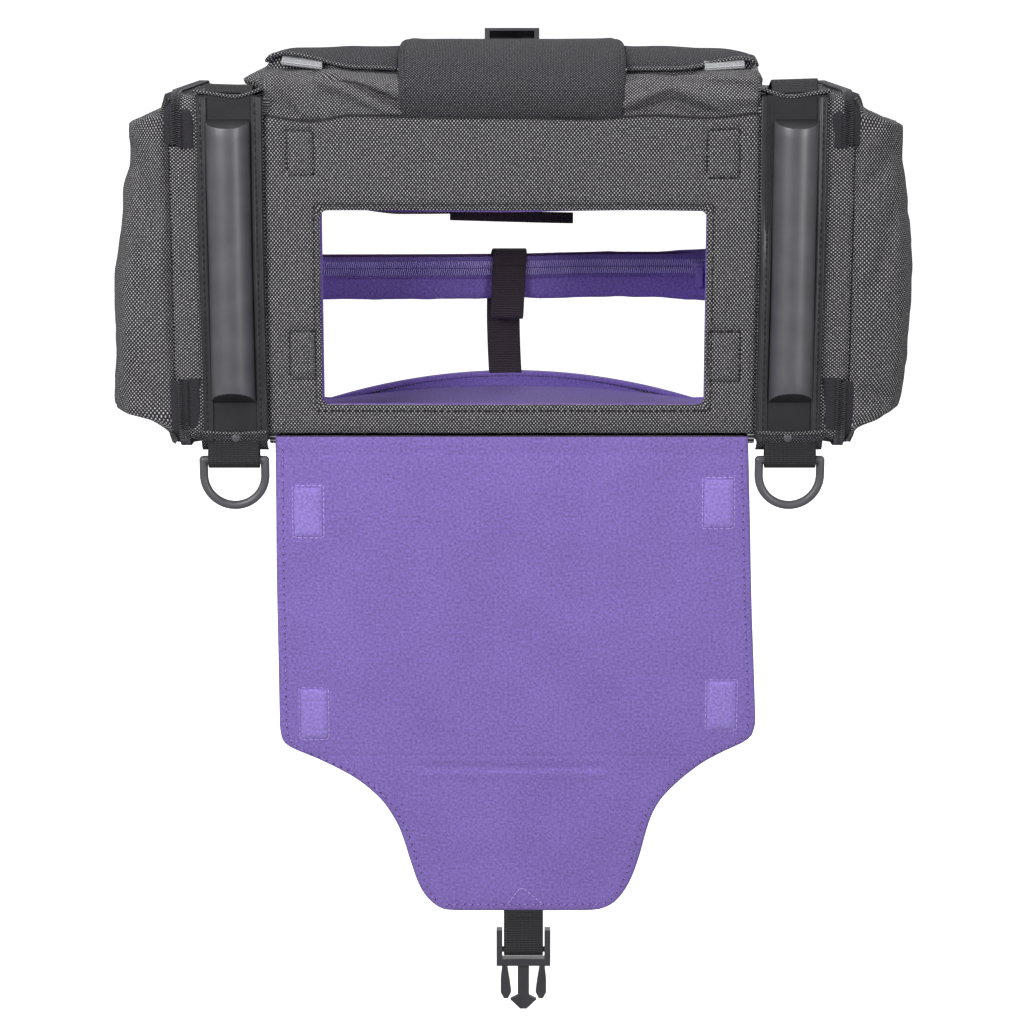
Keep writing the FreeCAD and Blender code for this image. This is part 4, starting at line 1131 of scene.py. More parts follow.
@dataclass
class TopCover:
    """The puckered yokes, the padded bridge between them, the two crowned lids and their grey pulls."""

    palette: Palette
    body: Room = room_of("front_panel", "rear_panel")
    lid: Room = room_of("top_lid_right")
    half: float = 64.0
    seam: float = 189.7
    under: float = 3.4
    cloth_run: float = 52.0
    edges: dict = field(default_factory=lambda: {
        Side.LEFT: Course((60, 217.0), (95, 219.0), (107, 221.4), (122, 225.4), (131, 226.6), (139, 225.0),
                          (143, 219.0)),
        Side.RIGHT: Course((60, 217.2), (95, 217.6), (107, 218.6), (118, 221.2), (130, 223.4), (138, 222.8),
                           (143, 216.0))})
    crest: Course = course((60, 229.0), (100, 228.2), (125, 226.8), (143, 223.0))
    folds: dict = field(default_factory=lambda: {
        Side.LEFT: (Fold((114, 0.80), (63, 0.2), 3.0, -6.4), Fold((110, 0.60), (66, 0.04), 3.6, 5.0),
                    Fold((139, 0.72), (114, 0.04), 4.0, 5.0), Fold((130, 0.80), (104, 0.26), 5.0, -4.0),
                    Fold((141, 0.25), (122, 0.05), 4.0, -1.6)),
        Side.RIGHT: (Fold((64, 0.20), (90, 0.52), 3.4, 5.0), Fold((90, 0.52), (124, 0.14), 4.0, 5.0),
                     Fold((66, 0.02), (92, 0.26), 4.0, -3.6), Fold((92, 0.26), (118, 0.0), 3.6, -3.4),
                     Fold((64, 0.66), (104, 0.90), 4.0, -3.6), Fold((74, 0.58), (102, 0.74), 4.0, 2.4),
                     Fold((102, 0.60), (141, 0.42), 4.6, -3.8), Fold((108, 0.34), (141, 0.22), 4.4, 3.0))})

    def build(self) -> None:
        """Builds both sides, then the bridge."""
        for side in Side:
            self.yoke(side, False)
            self.yoke(side, True)
            self.lid_cloth(side)
            self.pull(side)
            self.side_wall(side)
        self.bridge()

    def yoke(self, side: Side, rear: bool) -> None:
        """One cloth from the wall's seam up to the lid's edge, with the folds of a drawn seam."""
        s, edge = side.value, self.edges[side]
        back = Course((0, 0.8), (0.1, 2.2), (0.42, 3.0), (0.58, 6.0), (0.75, 14.0), (0.93, 28.0),
                      (0.97, 31.2), (1, 33.0))
        rise = Course((0, 0.0), (0.42, 0.60), (0.58, 0.80), (0.75, 0.93), (0.93, 1.0), (1, 1.0))
        lip, lip_from = (-3.5, 0.8) if rear else (2.2, 0.93)

        def spot(x: float, v: float) -> Vector:
            """A point of the yoke, |x| across and a share v of the way up."""
            brim = (0.5 * (edge(x) + 216) if rear else edge(x)) - self.under
            top = min(brim, 216.6)
            base = self.seam + (0.0 if rear else SEAM_WAVE(s * x))
            y = back(v)
            z = base + (top - base) * rise(v) + (brim + lip - top) * ease(lip_from, 1.0, v)
            lift = 0.55 * crumple((x * s, v * 40, 0), 14, 5.0 + s + 3 * rear) * ease(0, 0.1, v)
            held = ease(-0.02, 0.12, v) * (1 - ease(0.93, 1, v))
            lift += sum(f.height(x, v * run) for f in scaled) * held
            lift *= 0.5 if rear else 1.0
            over = ease(0.5, 0.8, v)
            y -= lift * (1 - 0.7 * over)
            z += lift * 0.8 * over
            y = y if y > 0.3 else 1.5 * math.exp((y - 0.3) / 1.5) - 1.2
            y += 1.8 * math.exp(-((v / 0.035) ** 2)) + 1.2 * math.exp(-(((self.body.x1 - x) / 1.6) ** 2))
            return at(s * x, self.body.y1 - y if rear else y, z)

        run = self.cloth_run
        scaled = [Fold((f.a[0], f.a[1] * run), (f.b[0], f.b[1] * run), f.width, f.rise)
                  for f in self.folds[side]]
        across = turned(spaced(self.half - 3, self.body.x1 - 0.2, 1.6), (s > 0) == rear)
        name = f"{'rear' if rear else 'front'}_yoke_{side.word}"
        obj = lattice(name, across, spaced(0, 1, 0.022), spot)
        make_up(obj, 1.6, back=1)
        node = ("rear_yoke",) if rear else (f"yoke_{side.word}",)
        dress(obj, "bag", "woven_nylon", self.palette.nylon, self.palette.lining, replaces=node)
        as_sheet(obj)

    def lid_height(self, side: Side, x: float, t: float) -> float:
        """Height of the lid's cloth, a share t of the way back."""
        a, b = self.edges[side](x), 214.8 + 0.1 * (self.edges[side](x) - 216)
        level = a + (b - a) * t
        crown = self.crest(x) - (a + b) / 2
        slack = 0.5 * crumple((x, t * 90, 0), 17, 2.0 + side.value)
        return level + crown * (1 - (2 * t - 1) ** 2) ** 0.8 + slack

    def lid_cloth(self, side: Side) -> None:
        """The crowned lid and the dotted binding round its free edges."""
        s, body = side.value, f"top_lid_{side.word}"
        y0, y1 = self.lid.y0 - 1.8, self.lid.y1
        across = turned(spaced(self.lid.x0, self.lid.x1, 2.2), s < 0)

        def spot(x: float, y: float) -> Vector:
            """A point of the lid."""
            return at(s * x, y, self.lid_height(side, x, (y - y0) / (y1 - y0)))

        obj = lattice(f"lid_cloth_{side.word}", across, spaced(y0, y1, 2.4), spot)
        make_up(obj, 2.2, 0.6, back=1)
        # the lid's cloth takes the darker copy of the nylon: painted shade
        dress(obj, body, "woven_nylon", self.palette.nylon_shaded, self.palette.lining, replaces=(body,))
        as_sheet(obj)
        front = [(s * x, y0 - 0.6, self.lid_height(side, x, 0) - 0.6)
                 for x in spaced(self.lid.x0 + 0.5, 138, 8)]
        round_corner = [(s * 141.4, y0 + 1.2, self.lid_height(side, 141, 0.02) - 0.6)]
        outer = [(s * 142.4, y, self.lid_height(side, self.lid.x1, (y - y0) / (y1 - y0)) - 0.8)
                 for y in spaced(y0 + 5, y1 - 1, 9)]
        rim = cordage(f"lid_binding_{side.word}", through(front + round_corner + outer, 1.6), 1.35, 8, 0.9)
        dress(rim, body, "woven_nylon", self.palette.binding)

    def pull(self, side: Side) -> None:
        """A short grey webbing pull, folded double at the lid's front edge."""
        s = side.value
        far, drop = (23.5, -2.9) if s < 0 else (23.0, 1.6)
        middle = (-121.5, 220.0) if s < 0 else (123.0, 218.6)
        loop = [(34.0, 3.4), (30.5, 2.7), (27.0, 1.6), (23.6, 0.1), (22.2, -1.0), (23.6, -1.9), (27.0, -1.1),
                (30.5, -0.2), (34.0, 0.4)]
        line = through([(middle[0], y, middle[1] + z) for y, z in loop], 0.9)
        strap = ribbon(f"pull_webbing_{side.word}", line, Vector((far, 0, drop)), far, 1.0, 8)
        body = f"top_lid_{side.word}"
        dress(strap, body, "grey_webbing", self.palette.grey_webbing, replaces=(f"pull_tab_{side.word}",))
        as_sheet(strap)
        row = [at(middle[0] + far * (i / 20 - 0.5) * 0.96, 24.6, middle[1] + 1.25 + drop * (i / 20 - 0.5))
               for i in range(21)]
        dress(sewing(f"pull_stitching_{side.word}", row, toward(0, -0.4, 0.9), 2.2, 1.2, 0.5), body,
              "grey_webbing", self.palette.pale_grey_thread)

    def side_wall(self, side: Side) -> None:
        """The cloth wall between the middle of the bag and an end pocket, full at the shoulder."""
        s = side.value
        swell = 15.0 if s < 0 else 4.0
        top = Course((0, 190), (4, 206), (14, 215), (30, 221), (75, 222.8), (120, 217.5), (136, 213),
                     (146, 205), (150, 190))

        def spot(y: float, v: float) -> Vector:
            """A point of the wall, y back and a share v of the way up."""
            z = 1.6 + (top(y) - 2.5 - 1.6) * v
            out = swell * ease(200, 210, z) * (1 - ease(210, top(y) - 2.6, z))
            out = out * ease(12, 36, y) * (1 - ease(104, 140, y))
            return at(s * (142.3 + out + 0.3 * crumple((0, y, z), 20, s)), y, z)

        ys = turned(spaced(2.5, 147.5, 5), s < 0)
        obj = lattice(f"side_cloth_{side.word}", ys, spaced(0, 0.88, 0.08) + spaced(0.9, 1, 0.012), spot)
        make_up(obj, 3.8, back=1)
        dress(obj, "bag", "woven_nylon", self.palette.nylon, self.palette.lining,
              replaces=(f"side_wall_{side.word}",))

    def bridge(self) -> None:
        """The padded bridge, over the top from one wall's seam to the other, with turned side edges."""
        run = [(1.9, 189.4), (0.0, 191.2), (-1.2, 196), (-1.2, 201), (0.8, 207.2), (7, 214.2), (21, 222.6),
               (46, 230.0), (75, 232.8), (104, 230.0), (129, 222.6), (143, 214.2), (149.2, 207.2),
               (151.2, 201), (151.2, 196), (150.0, 191.2), (148.1, 189.4)]
        line = through([(0, *p) for p in run], 2.0)
        last = len(line) - 1

        def spot(x: float, v: float) -> Vector:
            """A point of the bridge."""
            p = line[int(v)]
            ahead = (line[min(int(v) + 1, last)] - line[max(int(v) - 1, 0)]).normalized()
            out = Vector((1, 0, 0)).cross(ahead)
            middle = ease(0.0, 0.3, v / last) * (1 - ease(0.7, 1.0, v / last))
            edge = self.half - abs(x)
            lift = -2.6 * math.exp(-edge / 1.7) + 0.5 * math.exp(-(((edge - 7) / 5) ** 2))
            lift -= 0.45 * math.exp(-(((edge - 3.6) / 0.9) ** 2))
            lift += 0.5 * crumple((x, v * 2, 0), 34, 9.0)
            return p + out * lift * MM + Vector((x * (1 + 0.035 * middle) * MM, 0, 0))

        xs = [-64.0, -63.6, -62.8, -61.6, *spaced(-60, 60, 2.5), 61.6, 62.8, 63.6, 64.0]
        obj = lattice("bridge_cover", xs, list(range(last + 1)), spot)
        thicken(obj, 6.0, back=1)
        round_off(obj, 1.2, 3)
        smooth(obj)
        # the bridge takes the darker copy of the nylon: painted shade on its top
        dress(obj, "bag", "woven_nylon", self.palette.nylon_shaded, self.palette.lining,
              replaces=("top_bridge", "bridge_pad"))
        for s in (-1, 1):
            row = [spot(s * 60.4, i) for i in range(1, last)]
            seam = sewing(f"bridge_stitching_{Side(s).word}", row, toward(0, -0.3, 1), 3.6, 2.4, 0.55)
            dress(seam, "bag", "woven_nylon", self.palette.thread)


# --------------------------------------------------------------------------- end pockets and grips


def ring_line(y0: float, y1: float, z0: float, z1: float, radius: float, step: float) -> list[Knot]:
    """A rounded rectangle, as (y, z) in millimetres, from the front's middle up, over and round.

    Args:
        y0: Front.
        y1: Rear.
        z0: Bottom.
        z1: Top.
        radius: Of the corners.
        step: Distance between points.

    Returns:
        The points, without the first one again at the end.
    """
    middle = (z0 + z1) / 2
    stops: list[Knot] = [(y0, middle)]
    corners = ((y0 + radius, z1 - radius, math.pi), (y1 - radius, z1 - radius, math.pi / 2),
               (y1 - radius, z0 + radius, 0.0), (y0 + radius, z0 + radius, -math.pi / 2))
    for cy, cz, start in corners:
        turns = [start - math.pi / 2 * i / 7 for i in range(8)]
        stops += [(cy + radius * math.cos(t), cz + radius * math.sin(t)) for t in turns]
    stops.append((y0, middle))
    out: list[Knot] = []
    for a, b in zip(stops, stops[1:]):
        n = max(1, round(math.dist(a, b) / step))
        out += [(a[0] + (b[0] - a[0]) * i / n, a[1] + (b[1] - a[1]) * i / n) for i in range(n)]
    return out


@dataclass
class EndPocket:
    """One end of the bag: its box, its zip, the full cloth lid, the grip and the ring's webbing."""

    palette: Palette
    side: Side = Side.LEFT
    inner: float = 142.6
    mouth: float = 190.0
    hinge: float = 197.0
    deep: float = 150.0
    zip_at: float = 192.0
    zip_ends: tuple[float, float] = (40.0, 172.0)
    lid_ends: tuple[float, float] = (38.6, 174.4)
    tape_widths: tuple[float, float] = (12.0, 6.4)
    tooth_pitch: float = 1.25
    reach: dict = field(default_factory=lambda: {
        Side.LEFT: Course((0, 0.86), (8, 0.96), (20, 1.0), (76, 0.98), (124, 0.86), (149, 0.78), (164, 0.67),
                          (172, 0.665), (180, 0.70), (204, 0.66)),
        Side.RIGHT: Course((0, 0.70), (6, 0.78), (12.6, 0.72), (20, 0.86), (45, 0.965), (80, 1.0),
                           (112, 0.97), (149, 0.87), (165, 0.76), (172, 0.755), (190, 0.79), (204, 0.76))})
    folds: dict = field(default_factory=lambda: {
        Side.LEFT: (Fold((218, 172), (205, 128), 4.0, -3.2), Fold((209, 190), (202, 150), 4.5, 1.6),
                    Fold((222, 120), (209, 62), 6.0, -2.0), Fold((205, 110), (201, 60), 4.0, 1.2),
                    Fold((222, 40), (204, 22), 5.0, -2.0)),
        Side.RIGHT: (Fold((222, 172), (203, 150), 4.0, -2.6), Fold((216, 186), (204, 172), 5.0, 1.8),
                     Fold((224, 140), (206, 84), 6.0, -2.4), Fold((214, 120), (203, 96), 4.0, 1.6),
                     Fold((222, 24), (203, 34), 4.5, -2.8), Fold((214, 12), (204, 20), 4.0, 1.6))})

    def build(self) -> None:
        """Builds this end's pieces."""
        self.sleeve()
        self.zip_halves()
        self.hinge_cloth()
        self.cover()
        self.grip()
        self.grip_trim()
        self.cuffs()
        self.ring_strap()
        self.top_strap()

    def sleeve(self) -> None:
        """The end box's cloth, with the strip that the lid hangs on at its front."""
        s = self.side.value
        ring = ring_line(0.0, self.deep, 2.0, 203.0, 9.0, 4.0)
        turns = list(range(len(ring) + 1))

        def spot(i: float, x: float) -> Vector:
            """A point of the sleeve at station i, x out from the middle."""
            y, z = ring[int(i) % len(ring)]
            puff = 0.7 * crumple((x, y, z), 24, 6.0 + s) + 0.4 * crumple((x, y, z), 9, 1.0 + s)
            puff += 1.0 * math.exp(-(((x - self.mouth) / 2.0) ** 2)) if not 40 < z < 172 or y > 4 else 0.0
            puff -= 1.2 * math.exp(-((self.hinge - 0.4 - x) / 1.6))
            way = Vector((0, y - min(max(y, 9.0), self.deep - 9), z - min(max(z, 11.0), 194)))
            way = way.normalized() if way.length > 1e-6 else Vector((0, -1, 0))
            return at(s * x, y + way.y * puff, z + way.z * puff)

        obj = lattice(f"end_sleeve_{self.side.word}", turns, spaced(self.inner, 196.6, 2.7, self.mouth), spot)
        low, high = self.zip_ends[0], self.zip_ends[1] + 1.0
        delete_faces(obj, lambda c: abs(c.x) > self.mouth and not (c.y < 5 and low < c.z < high))
        weld(obj, outward=True)
        thicken(obj, 2.6, back=1)
        round_off(obj, 0.5, 1, 60)
        smooth(obj)
        dress(obj, "bag", "woven_nylon", self.palette.nylon, self.palette.lining,
              replaces=(f"end_box_{self.side.word}",))
        as_sheet(obj)

    def zip_line(self) -> list[Vector]:
        """The zip's line round the pocket's mouth, from the front's top over to the front's bottom."""
        ring = ring_line(-1.0, self.deep + 1.0, -0.2, 204.0, 13.0, 1.0)
        first = next(i for i, p in enumerate(ring) if p[1] > self.zip_ends[1])
        line = [p for p in ring[first:] if not (p[0] < 0 and self.zip_ends[0] < p[1] < self.zip_ends[1])]
        return [at(self.side.value * self.zip_at, *p) for p in line]

    def out(self, p: Vector) -> Vector:
        """The direction out of the bag at a point of the zip's line."""
        y, z = (p.y - FRONT_Y) / MM, p.z / MM
        way = Vector((0, y - min(max(y, 14.0), self.deep - 14), z - min(max(z, 14.0), 190)))
        return way.normalized() if way.length > 1e-6 else Vector((0, -1, 0))

    def zip_halves(self) -> None:
        """Tape and coil of both halves; the inner half stays, the outer one swings with the lid."""
        s, word = self.side.value, self.side.word
        line = self.zip_line()
        low, high = self.lid_ends
        for half, body, node in ((-1, "bag", f"zip_tape_{word}"), (1, f"end_lid_{word}", f"lid_zip_{word}")):
            width = self.tape_widths[half > 0]
            shift = half * (1.0 + width / 2) * s
            own = line if half < 0 else [p for p in line if p.y > FRONT_Y or not low < p.z / MM < high]
            middle = [p + Vector((shift * MM, 0, 0)) - self.out(p) * 0.4 * MM for p in even(own, 3)]
            tape = ribbon(f"zip_tape_cloth_{half + 2}_{word}", middle, Vector((1, 0, 0)), width, 0.9, 4)
            for v in tape.data.vertices:
                v.co -= self.out(v.co) * 0.013 * (abs(v.co.x) / MM - self.zip_at) ** 2 * MM
            dress(tape, body, "black_zip", self.palette.tape, replaces=(node,))
            as_sheet(tape)
            places = along(even(own, self.tooth_pitch), self.out, 1.1, tilt=90 + 16 * half)
            offset = Vector((half * s * 1.45 * MM, 0, 0))
            teeth = copies(f"zip_coil_{half + 2}_{word}", bead(3.1, 0.75, 1.5),
                           [Matrix.Translation(offset) @ m for m in places])
            dress(teeth, body, "black_zip", self.palette.coil)

    def hinge_cloth(self) -> None:
        """The cloth that the lid hangs on."""
        s, word = self.side.value, self.side.word
        xs = turned(spaced(193.2, 200.8, 0.8), s < 0)
        obj = lattice(f"hinge_cloth_{word}", xs, spaced(36.5, 176.5, 4), lambda x, z: at(
            s * x, 3.0 + 0.2 * crumple((x, 0, z), 9, s), z), Cut.FLAT)
        make_up(obj, 1.0)
        bend_between(obj, "bag", f"end_lid_{word}", at(s * 195.4, 0, 0), at(s * 198.6, 0, 0), "woven_nylon",
                     self.palette.nylon)
        as_sheet(obj)

    def cover(self) -> None:
        """The pocket's cloth lid: a slack box with soft corners, creased where it folds."""
        s, reach, folds = self.side.value, self.reach[self.side], self.folds[self.side]
        in_y = Course((0, 0), (0.60, 0.80), (0.76, 0.925), (0.88, 0.985), (0.95, 1.0), (1.0, 0.985))
        out_y = Course((0, 1), (0.35, 0.935), (0.60, 0.80), (0.76, 0.63), (0.88, 0.34), (1, 0))
        in_z = Course((0, 0), (0.8, 0.865), (0.88, 0.93), (0.94, 0.965), (1, 0.995))
        out_z = Course((0, 1), (0.8, 1.0), (0.87, 0.97), (0.92, 0.84), (0.96, 0.5), (1, 0))

        def spot(u: float, v: float) -> Vector:
            """A point of the lid: u from front to back, v from bottom to top, both -1 to 1."""
            y = 75 + math.copysign(76.2 * in_y(abs(u)), u)
            z = 102.0 + math.copysign(98.5 * in_z(abs(v)), v)
            x = self.hinge + 44.0 * out_y(abs(u)) * out_z(abs(v)) * reach(z)
            z += math.copysign(1.6, v) * ease(0.9, 1, abs(v)) * math.exp(-(((x - self.hinge) / 2.5) ** 2))
            slope = 0.36 * ease(0.7, 1, v) - 0.42 * ease(0.75, 1, -v)
            z -= (x - self.hinge + 6) * slope * ease(0, 4, x - self.hinge)
            front = ease(0.62, 0.8, -u)
            face = 1 - ease(0.6, 0.8, abs(u))
            lift = sum(f.height(x, z) for f in folds) + 1.1 * crumple((x * 0.6, y, z), 26, 8.0 + s)
            lift += 0.7 * crumple((x, y, z), 11, 2.0 + s)
            y -= front * lift * ease(self.hinge, self.hinge + 5, x)
            y += front * 2.4 * math.exp(-((x - self.hinge) / 1.8) ** 2)
            drape = 2.2 * crumple((0, y, z), 38, 4.0 + s) + 1.3 * crumple((0, y * 1.6, z), 15, 1.0 + s)
            x += face * out_z(abs(v)) * (drape - 1.0)
            x += 0.9 * crumple((0, y, z), 13, 3.0) * ease(0.62, 0.8, abs(u)) * (1 - ease(0.88, 1, abs(u)))
            brow = ease(0.86, 0.94, abs(v)) * (1 - ease(0.98, 1, abs(v)))
            z += 1.6 * crumple((x, y, 0), 16, 5.0 + s) * brow
            return at(s * min(x, 243.5), y, z)

        grid = sorted({round(math.copysign(1 - (1 - abs(t)) ** 1.35, t), 5) for t in spaced(-1, 1, 0.024)})
        us = grid if s > 0 else [-g for g in grid]
        obj = lattice(f"pocket_cover_{self.side.word}", us, grid, spot)
        make_up(obj, 1.8, back=1, angle=60)
        word = self.side.word
        dress(obj, f"end_lid_{word}", "woven_nylon", self.palette.nylon, self.palette.board,
              replaces=(f"end_face_{word}", f"end_gusset_{word}"))
        as_sheet(obj)

    def grip(self) -> None:
        """The half-round grip with slanted ends, the smooth plate behind it and the rivets' heads."""
        s, word = self.side.value, self.side.word
        room, plate = Room.of(f"grip_{word}"), Room.of(f"grip_panel_{word}")
        middle, radius = (room.x0 + room.x1) / 2, (room.x1 - room.x0) / 2

        def spot(turn: float, v: float) -> Vector:
            """A point of the grip's skin."""
            turn = turn if turn <= math.pi else 0.0
            out = max(0.0, math.sin(turn)) ** 0.85
            low, high = room.z0 + 7.5 * out, room.z1 - 5.0 * out
            x = middle - radius * math.cos(turn) * (1 - 0.02 * math.sin(v * math.pi))
            return at(x, -1.2 - 12.6 * out, low + (high - low) * v)

        obj = lattice(f"grip_bar_{word}", [math.pi * i / 28 for i in range(30)], spaced(0, 1, 0.04), spot)
        weld(obj, fill=True)
        # faces that point up or down, the grip's slanted ends, take the darker rubber: painted shade
        for face in obj.data.polygons:
            face.material_index = int(abs(face.normal.z) > 0.25)
        round_off(obj, 0.7, 3, 30)
        smooth(obj, 35)
        dress(obj, "bag", "moulded_rubber", self.palette.rubber, self.palette.matte_rubber_and_shade,
              replaces=(f"grip_{word}",))
        xs = spaced(plate.x0 + 1, plate.x1 - 1, 3)
        base = lattice(f"grip_plate_{word}", xs, spaced(1.5, 203.0, 4), lambda x, z: at(
            x, -2.5 + 0.3 * crumple((x, 0, z), 30, 4.0), z), Cut.FLAT)
        make_up(base, 2.0)
        dress(base, "bag", "moulded_rubber", self.palette.matte_rubber_and_shade, replaces=(f"grip_panel_{word}",))
        self.rivet(at(s * 161.5, -3.2, 4.9))

    def rivet(self, place: Vector) -> None:
        """The domed head of the lower rivet; the upper one is under its cuff."""
        unselect()
        bpy.ops.mesh.primitive_uv_sphere_add(segments=24, ring_count=12, radius=2.6 * MM, location=place)
        head = bpy.context.object
        head.name = head.data.name = f"rivet_bottom_{self.side.word}"
        bpy.ops.object.mode_set(mode="EDIT")
        bpy.ops.transform.resize(value=(1, 0.34, 1), center_override=place)
        bpy.ops.object.mode_set(mode="OBJECT")
        bpy.ops.object.transform_apply(location=True, rotation=True, scale=True)
        smooth(head)
        dress(head, "bag", "black_metal", self.palette.coated_steel, replaces=("grip_rivets",))

    def grip_trim(self) -> None:
        """The rolled vinyl trim down both sides of the grip's plate, with its sewing."""
        s, word = self.side.value, self.side.word
        plate = Room.of(f"grip_panel_{word}")
        near, far = sorted((abs(plate.x0), abs(plate.x1)))
        for place, (a, b) in (("inner", (near - 1.8, near + 5.2)), ("outer", (far - 6.4, far))):
            section = [(a, 0.0), (a + 0.4, 1.6), (a + 1.5, 2.3), (a + 2.6, 1.7), (a + 3.4, 1.35),
                       (b - 2.4, 1.5), (b - 1.3, 2.2), (b - 0.4, 1.5), (b, 0.0)]
            section = turned(section, s < 0)
            press = 0.85 if s > 0 and place == "inner" else 0.0

            def spot(i: float, z: float) -> Vector:
                """A point of the trim's skin."""
                x, out = section[int(i)]
                bow = 0.5 * math.sin(z / 33 + a) * ease(0, 30, z)
                pressed = press * ease(100, 150, z)
                y = -1.7 - out * (1 - pressed) - 0.12 * crumple((x, 0, z), 7, a)
                return at(s * (x + bow * 0.6), y, z)

            stations = list(range(len(section)))
            obj = lattice(f"grip_trim_{place}_{word}", stations, spaced(3.0, 202.0, 3.0), spot)
            make_up(obj, 1.0, angle=75)
            dress(obj, "bag", "moulded_rubber", self.palette.vinyl)
            middle = (a + 3.4 + b - 2.4) / 2
            row = [at(s * middle, -3.25 + 1.0 * press * ease(100, 150, z), z) for z in spaced(5, 200, 2)]
            seam = sewing(f"grip_stitching_{place}_{word}", row, FORWARD, 4.2, 2.7, 0.7)
            dress(seam, "bag", "moulded_rubber", self.palette.thread)

    def cuffs(self) -> None:
        """The cloth cuffs over both ends of the grip's plate, each with a bound edge."""
        s, word = self.side.value, self.side.word
        dip = Course((143, 206.6), (150, 204.0), (158, 202.2), (168, 203.6), (182, 205.6))
        low = -3.0
        for place, edge in (("top", dip), ("bottom", Course((143, 8.4), (162, 7.6), (182, 8.6)))):
            top = place == "top"
            xs = turned(spaced(143.2, 181.8, 1.8), s < 0)

            def spot(x: float, v: float) -> Vector:
                """A point of the cuff, from its bound edge down or round the bag's bottom."""
                if top:
                    z = edge(x) + 0.4
                    return at(s * x, -1.4 + 15.5 * v, z - 2.2 * v)
                turn = v * math.pi / 2
                z = edge(x) + (low - edge(x)) * math.sin(turn)
                return at(s * x, -3.2 + 9.0 * (1 - math.cos(turn)) - 0.5 * crumple((x, v * 10, 0), 7, s), z)

            obj = lattice(f"cuff_{place}_{word}", xs, spaced(0, 1, 0.1), spot)
            weld(obj, outward=False)
            thicken(obj, 1.0, 0.0)
            smooth(obj)
            # the cuffs take the darker copy of the nylon: painted shade
            dress(obj, "bag", "woven_nylon", self.palette.nylon_shaded)
            as_sheet(obj)
            line = through([(s * x, -2.6 if top else -3.2, edge(x)) for x in spaced(143.2, 181.8, 5)], 1.4)
            rim = cordage(f"cuff_binding_{place}_{word}", line, 1.15, 8)
            dress(rim, "bag", "woven_nylon", self.palette.binding)

    def ring_strap(self) -> None:
        """The webbing that holds the ring's bar, from under the box, round the bar and back."""
        word = self.side.word
        room = Room.of(f"ring_webbing_{word}")
        run = [(-2.0, 3.0), (-3.2, -1.0), (-4.8, -5.6), (-4.9, -9.5), (-1.0, -12.6), (2.9, -9.5), (2.9, -5.0),
               (2.2, 0.0), (2.0, 1.6)]
        line = through([((room.x0 + room.x1) / 2, *p) for p in run], 1.2)
        obj = ribbon(f"ring_strap_{word}", line, Vector((1, 0, 0)), room.x1 - room.x0 + 1.0, 1.3, 8)
        dress(obj, "bag", "black_webbing", self.palette.black_webbing, replaces=(f"ring_webbing_{word}",))
        as_sheet(obj)

    def top_strap(self) -> None:
        """The short black loop of webbing on the box's top."""
        s, word = self.side.value, self.side.word
        top = 207.4 if s < 0 else 210.4
        run = [(13.0, 203.6), (15.0, 205.4), (18.0, top - 0.4), (21.5, top), (27.0, top - 1.6), (40.0, 205.0),
               (46.0, 204.6)]
        line = through([(s * 163.0, *p) for p in run], 1.5)
        lean = Vector((1, 0, 0.03 * s))
        obj = ribbon(f"top_strap_{word}", line, lean, 27.0, 1.6, 8)
        dress(obj, "bag", "black_webbing", self.palette.black_webbing, replaces=("strap_tabs",))
        as_sheet(obj)


@dataclass
class LeftPocket(EndPocket):
    """The pocket on the viewer's left."""

    side: Side = Side.LEFT


@dataclass
class RightPocket(EndPocket):
    """The pocket on the viewer's right."""

    side: Side = Side.RIGHT


# --------------------------------------------------------------------------- rear wall and inside


